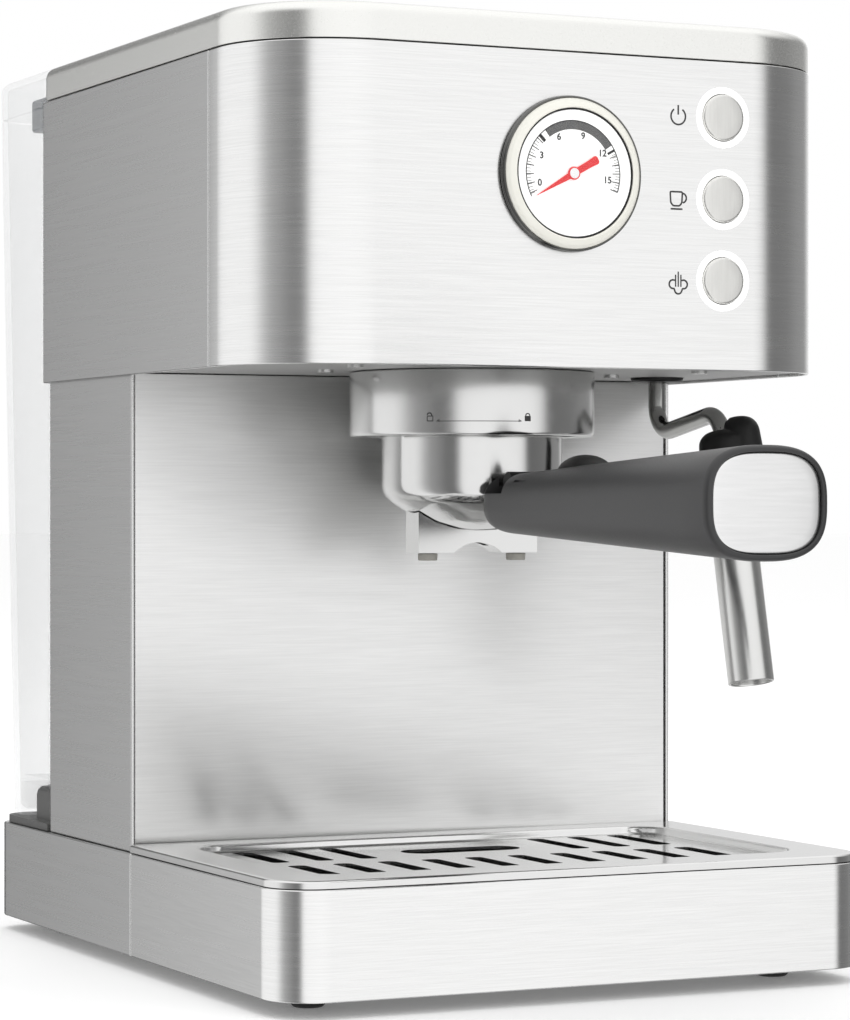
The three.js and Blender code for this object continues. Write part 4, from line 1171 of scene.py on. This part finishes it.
def handle_ring(y, share, power=2.8):
    along = min(1, max(0, (ROOT - y) / (ROOT - END)))
    w, h = [(a + along * (b - a)) * share for a, b in zip(ROOT_HALF, END_HALF)]
    return [(x, y, HANDLE_Z + z) for x, z in superellipse(w, h, power, 96)]


handle_rings = []
for i in range(13):
    angle = math.radians(90 * i / 12)
    handle_rings.append(handle_ring(ROOT - 9 * (1 - math.cos(angle)), 0.72 + 0.28 * math.sin(angle)))
handle_rings += [handle_ring(ROOT - 9 - (ROOT - 9 - END) * i / 10, 1) for i in range(1, 11)]
RIM = END - 2.2
for i in range(1, 7):
    angle = math.radians(90 * i / 6)
    handle_rings.append(handle_ring(END - 2.2 * math.sin(angle), 1 - 0.085 * (1 - math.cos(angle))))
handle_rings += [handle_ring(RIM, 0.893, 3), handle_ring(RIM + 0.3, 0.881, 3), handle_ring(END + 1, 0.88, 3)]
handle = loft("handle_moulding", handle_rings)
clip_low = measured("basket_clip")[0]
groove = prism("groove", outline(7.5, clip_low.y - 1, ROOT + 5, 7.4, 1), HANDLE_Z + 5.5, 190)
window = prism("window", outline(20, 19.5, ROOT - 3.8, 2, 1), 155.4, 190)
slit = prism("slit", outline(1.2, 5, 13.5, 0.6, 0.6, 6), HANDLE_Z + 6.6, HANDLE_Z + 7.4)
slit.data.transform(Matrix.Translation((-0.0125, 0, 0)))
rod_bore = round_bar("bore", 4.3, -60, 50, (0, 0, HANDLE_Z), "y", 40)
carve(handle, groove, window, slit, rod_bore)
finish(smooth(handle, 35), "handle_plastic", "portafilter", ["handle_grip"])

# %% End plate
PLATE = 0.87
cap_steps = [(END + 0.7, 0.0), (END + 0.7, 1.0), (RIM + 0.9, 1.0), (RIM + 0.6, 0.985), (RIM + 0.45, 0.94)]
cap_steps += [(RIM + 0.3, 0.8), (RIM + 0.15, 0.55), (RIM + 0.08, 0.25), (RIM + 0.06, 0.0)]


def cap_ring(y, share):
    w, h = (half * PLATE * max(share, 0.0005) for half in END_HALF)
    return [(x, y, HANDLE_Z + z) for x, z in superellipse(w, h, 3.1, 96)]


end_cap = loft("handle_end_plate", [cap_ring(y, share) for y, share in cap_steps])
finish(smooth(end_cap, 50), "cap_steel", "portafilter", ["handle_cap"])

# %% [markdown]
# The basket clip is a small lever in the handle's groove. Its thumb pad is a low oval dome, so its
# rings shrink the way an ellipse does. The lever and its barrel are plain shapes joined to it.

# %% Basket clip
PAD_Y, PAD_LENGTH, PAD_BASE = clip_low.y + 13, 13, HANDLE_Z + 9
PIVOT_Y, PIVOT_Z = 27, 159.8


def pad_ring(share, z):
    return [(x * share, PAD_Y + y * share, z) for x, y in superellipse(6.8, PAD_LENGTH, 2.2, 48)]


pad_rings = [pad_ring(1, HANDLE_Z + 6.2)]
for i in range(9):
    angle = math.radians(88 * i / 8)
    pad_rings.append(pad_ring(math.cos(angle), PAD_BASE + 6 * math.sin(angle)))
clip = loft("basket_clip_lever", pad_rings)
lever = prism("lever", outline(6.4, clip_low.y + 8, PIVOT_Y, 1, 1, 4), HANDLE_Z + 6.2, HANDLE_Z + 9)
barrel = round_bar("barrel", 2.5, -7.8, 7.8, (0, PIVOT_Y, PIVOT_Z), "x", 40)
prongs = []
for x in (-7.7, 5.5):
    prong_plan = [(x, 27), (x + 2.2, 27), (x + 2.2, 30.6), (x, 30.6)]
    prongs.append(prism("prong", prong_plan, 158.2, 160.4))
carve(clip, lever, barrel, *prongs, mode="UNION")
finish(smooth(clip, 35), "black_plastic", "clip", ["basket_clip"])

# %% [markdown]
# ## Steam wand
#
# The wand is a thin steel tube on a swivel. It comes straight down, bends forward, and turns down into
# a black grip. The frothing sleeve slides over its end. The tube tree follows a short list of corners
# and rounds each bend, so changing one point changes the whole wand.

# %% Tube, grip and sleeve
tube_low, tube_high = measured("steam_tube")
WAND_X = (tube_low.x + tube_high.x) / 2
WAND_Y = tube_high.y - 2.9
LEAN = 0.225
down = Vector((0, -math.sin(LEAN), -math.cos(LEAN)))
KNEE = Vector((WAND_X, 44.5, 182.7))
TUBE_END = 76
tube_path = [
    (WAND_X, WAND_Y, tube_high.z), (WAND_X, WAND_Y, 175.6), tuple(KNEE), tuple(KNEE + down * TUBE_END),
]
tube = grow("wand_tube", tube_tree, line("tube_path", tube_path), Radius=0.0029, Bend=0.0085)
finish(smooth(tube, 40), "tube_steel", "wand", ["steam_tube"])


def leaned(piece):
    """Move a piece drawn round the Z axis, with its top at z = 0, onto the wand's leaning end."""
    from_origin = Matrix.Rotation(-LEAN, 4, "X") @ Matrix.Translation(-place(0, 0, 0))
    piece.data.transform(Matrix.Translation(place(*KNEE)) @ from_origin)
    return piece


SLEEVE = 91
sleeve_profile = [
    (3.2, -38.3), (6.6, -38.3), (7.5, -39.4), (7.5, -SLEEVE), (6.6, -SLEEVE),
    (6.6, -44), (3.2, -44),
]
sleeve = turned("froth_tube", eased(sleeve_profile, 0.5, 3, closed=True), (0, 0, 0), "z", 96)
finish(smooth(leaned(sleeve), 40), "sleeve_steel", "sleeve", ["froth_sleeve"])

insert_profile = [(3.2, -84), (6.5, -84), (6.5, -88), (1.5, -88), (1.5, -86), (3.2, -86)]
insert = turned("froth_insert", eased(insert_profile, 0.3, 3, closed=True), (0, 0, 0), "z", 64)
finish(smooth(leaned(insert), 40), "black_plastic", "sleeve")

# %% [markdown]
# The wand's grip is a soft rubbery moulding with a thumb rest on its outer side. Two rounded bars are
# joined, and then a Remesh and a Smooth modifier melt them into one skin without a hard crease.

# %% Grip with a thumb rest
body_profile = [(0, -7.0), (5, -7.0), (7.6, -9.5), (8.7, -24), (8.3, -37.9), (0, -37.9)]
wand_grip = turned("wand_handle", eased(body_profile, 1.5, 4), (-0.5, 0, 0), "z", 64)
thumb_profile = [(0, -2.4), (4, -2.4), (6.6, -5.2), (7.4, -16), (7.2, -34), (0, -34)]
thumb_rest = turned("thumb", eased(thumb_profile, 2.2, 5), (5.6, -1.6, 0), "z", 64)
carve(wand_grip, thumb_rest, mode="UNION")
melt = wand_grip.modifiers.new("melt", "REMESH")
melt.mode, melt.voxel_size = "VOXEL", 0.5 * MM
relax = wand_grip.modifiers.new("relax", "SMOOTH")
relax.iterations = 8
settle(wand_grip)
grip_bore = round_bar("bore", 3.2, -60, 5, (0, 0, 0), "z", 40)
carve(wand_grip, grip_bore)
finish(smooth(leaned(wand_grip), 45), "black_plastic", "wand", ["wand_grip"])

bush_profile = [(3.2, 193.7), (8.2, 193.7), (8.9, 194.4), (8.9, 198), (3.2, 198)]
bush = turned("wand_bush", eased(bush_profile, 0.3, 3, closed=True), (WAND_X, WAND_Y, 0), "z", 64)
finish(smooth(bush, 40), "black_plastic", "machine", ["swivel_bush"])

# %% Steam knob
knob_rings = [
    (0, 95.7), (3.6, 95.7), (3.6, 102.9), (15.4, 102.9), (16, 103.6), (15.3, 115.6), (13.8, 117.6),
    (0, 117.8),
]
knob = turned("steam_dial", eased(knob_rings, 0.7, 4), (0, KNOB_Y, KNOB_Z), "x", 144)
FLUTE_COUNT = 30
FLUTE_CIRCLE = 16.4
flutes = []
for i in range(FLUTE_COUNT):
    a = math.tau * i / FLUTE_COUNT
    at = (0, KNOB_Y + FLUTE_CIRCLE * math.cos(a), KNOB_Z + FLUTE_CIRCLE * math.sin(a))
    flutes.append(turned("flute", [(0, 105), (0.9, 105.4), (0.9, 120), (0, 120)], at, "x", 12))
carve(knob, merged("flutes", *flutes))
pointer_plan = [(116.9, KNOB_Y - 0.9), (119, KNOB_Y - 0.9), (119, KNOB_Y + 0.9), (116.9, KNOB_Y + 0.9)]
pointer = prism("pointer", pointer_plan, KNOB_Z + 5, KNOB_Z + 20)
carve(knob, pointer)
finish(smooth(knob, 35), "collar_silver", "knob", ["steam_knob"])

# %% [markdown]
# ## Water tank
#
# The tank stands behind the column. Its rear wall leans out a little towards the top, and its walls
# are thin clear plastic, so it has an outer skin, an inner skin and a real thickness between them.

# %% Tank and lid
tank_low = measured("water_tank")[0]
TANK_FRONT, TANK_TOP, TANK_BOTTOM = tank_low.y, 291.0, tank_low.z
TANK_HALF, REAR_LOW, REAR_HIGH, WALL = 100, 246.0, 260.5, 2.2


def tank_ring(z, inset):
    rear = REAR_LOW + (REAR_HIGH - REAR_LOW) * (z - TANK_BOTTOM) / (TANK_TOP - TANK_BOTTOM)
    front_radius = max(2.2 - inset, 0.4)
    plan = outline(TANK_HALF - inset, TANK_FRONT + inset, rear - inset, front_radius, 12 - inset, 12)
    return [(x, y, z) for x, y in plan]


levels = [TANK_BOTTOM + (TANK_TOP - TANK_BOTTOM) * i / 8 for i in range(9)]
tank_rings = [tank_ring(TANK_BOTTOM, 1.4), tank_ring(TANK_BOTTOM + 0.4, 0.4), tank_ring(TANK_BOTTOM + 1.4, 0)]
tank_rings += [tank_ring(z, 0) for z in levels[1:-1]]
tank_rings += [tank_ring(TANK_TOP - 0.5, 0), tank_ring(TANK_TOP, 0.5)]
tank_rings += [tank_ring(TANK_TOP, WALL - 0.5), tank_ring(TANK_TOP - 0.5, WALL)]
tank_rings += [tank_ring(z, WALL) for z in reversed(levels[1:-1])]
tank_rings += [tank_ring(TANK_BOTTOM + WALL + 1.5, WALL), tank_ring(TANK_BOTTOM + WALL, WALL + 1.5)]
tank = loft("tank_body", tank_rings)
block_top = measured("rear_deck")[1].z
step = prism("step", [(-120, 190), (120, 190), (120, 228.5), (-120, 228.5)], 30, block_top + 1.2)
fill_plan = [(-98.6, 203.5), (98.6, 203.5), (98.6, 230.7), (-98.6, 230.7)]
inner_fill = prism("fill", fill_plan, 42.5, block_top + 3.4)
carve(tank, inner_fill, mode="UNION")
valve_hole = round_bar("hole", 8.3, 40, 70, (0, 214, 0), "z", 48)
carve(tank, step, valve_hole)
pin_low, pin_high = measured("lid_hinge_pin")
PIN_Y, PIN_Z = (pin_low.y + pin_high.y) / 2, (pin_low.z + pin_high.z) / 2
PIN_BORE, KNUCKLE = 1.55, 3


def pin_bore():
    """The hole that the hinge pin passes through, in the tank's ears and in the lid."""
    return round_bar("bore", PIN_BORE, -60, 60, (0, PIN_Y, PIN_Z), "x", 40)


ears = []
for side in (-1, 1):
    x0, x1 = sorted((side * 36, side * 28.4))
    knuckle = round_bar("knuckle", KNUCKLE, x0, x1, (0, PIN_Y, PIN_Z), "x", 40)
    ear_plan = [(x0, 259.5), (x1, 259.5), (x1, PIN_Y), (x0, PIN_Y)]
    ears += [knuckle, prism("ear", ear_plan, PIN_Z - 3, PIN_Z)]
carve(tank, *ears, mode="UNION")
carve(tank, pin_bore())
finish(smooth(tank, 35), "tank_clear", "tank", ["water_tank"])

LID_TOP, LID_LOW = measured("tank_lid")[1].z, 291.3


def lid_plan(inset):
    front_radius, rear_radius = max(2.5 - inset, 0.6), max(12 - inset, 2)
    return outline(
        TANK_HALF - inset, TANK_FRONT + inset, REAR_HIGH - inset, front_radius, rear_radius, 14
    )


lid_rings = rolled_rings(lid_plan, LID_LOW, LID_TOP, 4)
lid = loft("tank_cover", lid_rings)
hollow = loft("hollow", rolled_rings(lambda i: lid_plan(i + WALL), LID_LOW - 2, LID_TOP - WALL, 2))
carve(lid, hollow)
lid_knuckle = round_bar("knuckle", KNUCKLE, -28, 28, (0, PIN_Y, PIN_Z), "x", 40)
tongue = prism("tongue", [(-28, 257.8), (28, 257.8), (28, PIN_Y), (-28, PIN_Y)], LID_LOW, PIN_Z + 3)
carve(lid, lid_knuckle, tongue, mode="UNION")
carve(lid, pin_bore())
finish(smooth(lid, 35), "tank_clear", "lid", ["tank_lid"])

tank_bar = softened_copy("tank_handle_bar", "tank_grip", 1.2, 3)
finish(tank_bar, "smoked_plastic", "tank", ["tank_grip"])

# %% [markdown]
# ## Feet, gland and the mouldings between
#
# The small round parts are turned like the rest. The rear deck is the CAD solid with its edges eased, in a
# darker copy of the grey plastic that paints shade onto it.

# %% Small parts
for where in ("front_left", "front_right", "rear_left", "rear_right"):
    low, high = measured(f"foot_{where}")
    centre = ((low.x + high.x) / 2, (low.y + high.y) / 2, 0)
    foot_profile = [(0, 0), (4.4, 0), (5.4, 1.0), (5.3, high.z), (0, high.z)]
    foot = turned(f"rubber_foot_{where}", eased(foot_profile, 0.5), centre, "z", 48)
    finish(smooth(foot, 40), "rubber", "machine", [f"foot_{where}"])

gland_low, gland_high = measured("cord_gland")
gland_profile = [
    (3.4, gland_low.y), (4.9, gland_low.y), (4.9, gland_high.y - 2), (8, gland_high.y - 2),
    (7.4, gland_high.y), (3.4, gland_high.y),
]
gland = turned("cord_gland_ring", eased(gland_profile, 0.5, 3, closed=True), GLAND_AT, "y", 64)
finish(smooth(gland, 40), "black_plastic", "machine", ["cord_gland"])

deck = softened_copy("rear_deck_moulding", "rear_deck", 0.6, 3)
# The deck's darker grey is painted shade over the same chassis plastic.
finish(deck, "deck_grey_painted_shade", "machine", ["rear_deck"])

screw_points = [(x, y, 194.9) for x, y in ((-61, 26), (61, 26), (-52, 69), (52, 69))]
screws = grow("underside_screws", screw_tree, seeds("s", screw_points), Radius=0.0026, Height=0.0014)
finish(smooth(screws, 30), "collar_silver", "machine")

# %% [markdown]
# ## CAD pieces that stay
#
# Inside pieces, and the plain mouldings that hardly show, keep their CAD shape and get a finish.

# %% Finishes for the CAD pieces
KEPT = {
    "grey_plastic": ["base_pan", "inner_frame", "head_floor", "tank_valve"],
    "tray_plastic": ["drip_tray"],
    "black_plastic": ["water_pump"],
    "rubber": ["group_gasket", "valve_plunger"],
    "wand_steel": ["shower_screen", "handle_rod", "lid_hinge_pin"],
    "cast_alloy": ["brew_head", "thermoblock"],
    "brass": ["steam_valve"],
    "circuit_green": ["power_board", "switch_board"],
    "hose_silicone": ["inlet_hose", "outlet_hose"],
}
for finish_name, names in KEPT.items():
    for name in names:
        for material_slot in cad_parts[name].material_slots:
            material_slot.material = FINISH[finish_name]
print(sum(len(names) for names in KEPT.values()), "CAD pieces painted")

# %% [markdown]
# ## Studio
#
# The machine stands on a plain pale floor in soft light. Bare metal shows what is around it, so the
# room matters: a bright wall in front, a dark one where each front corner looks, bright walls again
# further round, and a dark one straight behind. The world shader paints it by compass direction.

# %% Floor and room
floor_mesh = bpy.data.meshes.new("floor")
REACH = 30
floor_corners = [(-REACH, -REACH, 0), (REACH, -REACH, 0), (REACH, REACH, 0), (-REACH, REACH, 0)]
floor_mesh.from_pydata(floor_corners, [], [(0, 1, 2, 3)])
floor = bpy.data.objects.new("floor", floor_mesh)
bpy.context.collection.objects.link(floor)
floor_material, _, floor_shader = principled("floor_paper", (0.94, 0.94, 0.94), 0.8)
floor_shader.inputs["Emission Color"].default_value = (1, 1, 1, 1)
floor_shader.inputs["Emission Strength"].default_value = 0.12
floor.data.materials.append(floor_material)
floor.visible_glossy = False
floor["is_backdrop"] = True

world = bpy.data.worlds.new("studio")
bpy.context.scene.world = world
world.use_nodes = True
sky = world.node_tree
sky.nodes.clear()
direction = node(sky, "ShaderNodeTexCoord")
split = node(sky, "ShaderNodeSeparateXYZ", {"Vector": direction.outputs["Generated"]})
# The compass bearing of a direction: 0 straight in front of the machine, positive to its left.
bearing = node(sky, "ShaderNodeMath", operation="ARCTAN2")
for i, axis in enumerate("XY"):
    flipped = node(sky, "ShaderNodeMath", operation="MULTIPLY")
    flipped.inputs[1].default_value = -1
    sky.links.new(split.outputs[axis], flipped.inputs[0])
    sky.links.new(flipped.outputs[0], bearing.inputs[i])
share = node(
    sky,
    "ShaderNodeMapRange",
    {"Value": bearing.outputs[0]},
    From_Min=-math.pi,
    From_Max=math.pi,
)
room = node(sky, "ShaderNodeValToRGB", {"Fac": share.outputs["Result"]})
# Bearing in degrees, and how bright the room is there.
ROOM = [
    (-180, 0.12), (-172, 0.15), (-160, 0.6), (-140, 0.95), (-127, 0.62), (-117, 0.3), (-95, 0.27),
    (-78, 0.2), (-54, 0.16), (-49, 0.22), (-43, 0.75), (-38, 0.95), (-30, 1.02), (0, 1.06), (32, 1.03),
    (38, 0.95), (44, 0.4), (49, 0.2), (58, 0.2), (70, 0.3), (80, 0.38), (88, 0.55), (96, 0.82),
    (104, 0.96), (128, 0.97), (146, 0.95), (152, 0.85), (157, 0.55), (162, 0.28), (168, 0.12), (180, 0.12),
]
stops = room.color_ramp.elements
while len(stops) < len(ROOM):
    stops.new(1.0)
for stop, (degrees, level) in zip(stops, ROOM):
    stop.position = (degrees + 180) / 360
    stop.color = (level, level, level, 1)
overhead = node(sky, "ShaderNodeMapRange", {"Value": split.outputs["Z"]}, From_Min=0.35, From_Max=0.8)
blend_up = node(sky, "ShaderNodeMix", data_type="RGBA")
blend_up.inputs["B"].default_value = (1.1, 1.1, 1.1, 1)
sky.links.new(overhead.outputs["Result"], blend_up.inputs["Factor"])
sky.links.new(room.outputs["Color"], blend_up.inputs["A"])
backdrop = node(sky, "ShaderNodeBackground", Color=(1, 1, 1, 1))
lit_room = node(sky, "ShaderNodeBackground", {"Color": blend_up.outputs["Result"]})
seen = node(sky, "ShaderNodeLightPath")
choose = node(sky, "ShaderNodeMixShader", {"Fac": seen.outputs["Is Camera Ray"]})
sky.links.new(lit_room.outputs[0], choose.inputs[1])
sky.links.new(backdrop.outputs[0], choose.inputs[2])
node(sky, "ShaderNodeOutputWorld", {"Surface": choose.outputs[0]})

# %% Soft lights
def softbox(name, where, target, size, power):
    light_data = bpy.data.lights.new(name, "AREA")
    light_data.shape = "RECTANGLE"
    light_data.size, light_data.size_y = size
    light_data.energy = power
    light = bpy.data.objects.new(name, light_data)
    light.location = where
    light.rotation_euler = (Vector(target) - Vector(where)).to_track_quat("-Z", "Y").to_euler()
    light.visible_glossy = False
    bpy.context.collection.objects.link(light)
    return light


softbox("front_softbox", (0.5, -2.2, 1.3), (0, 0, 0.15), (1.6, 1.2), 5)
softbox("top_softbox", (0, 0.1, 2.2), (0, 0, 0), (2.0, 2.0), 14)
bpy.context.scene.view_settings.view_transform = "Standard"
bpy.context.scene.view_settings.look = "None"
print("studio ready")

low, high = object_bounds()
print("looks box", [round(v, 4) for v in (*low, *high)])
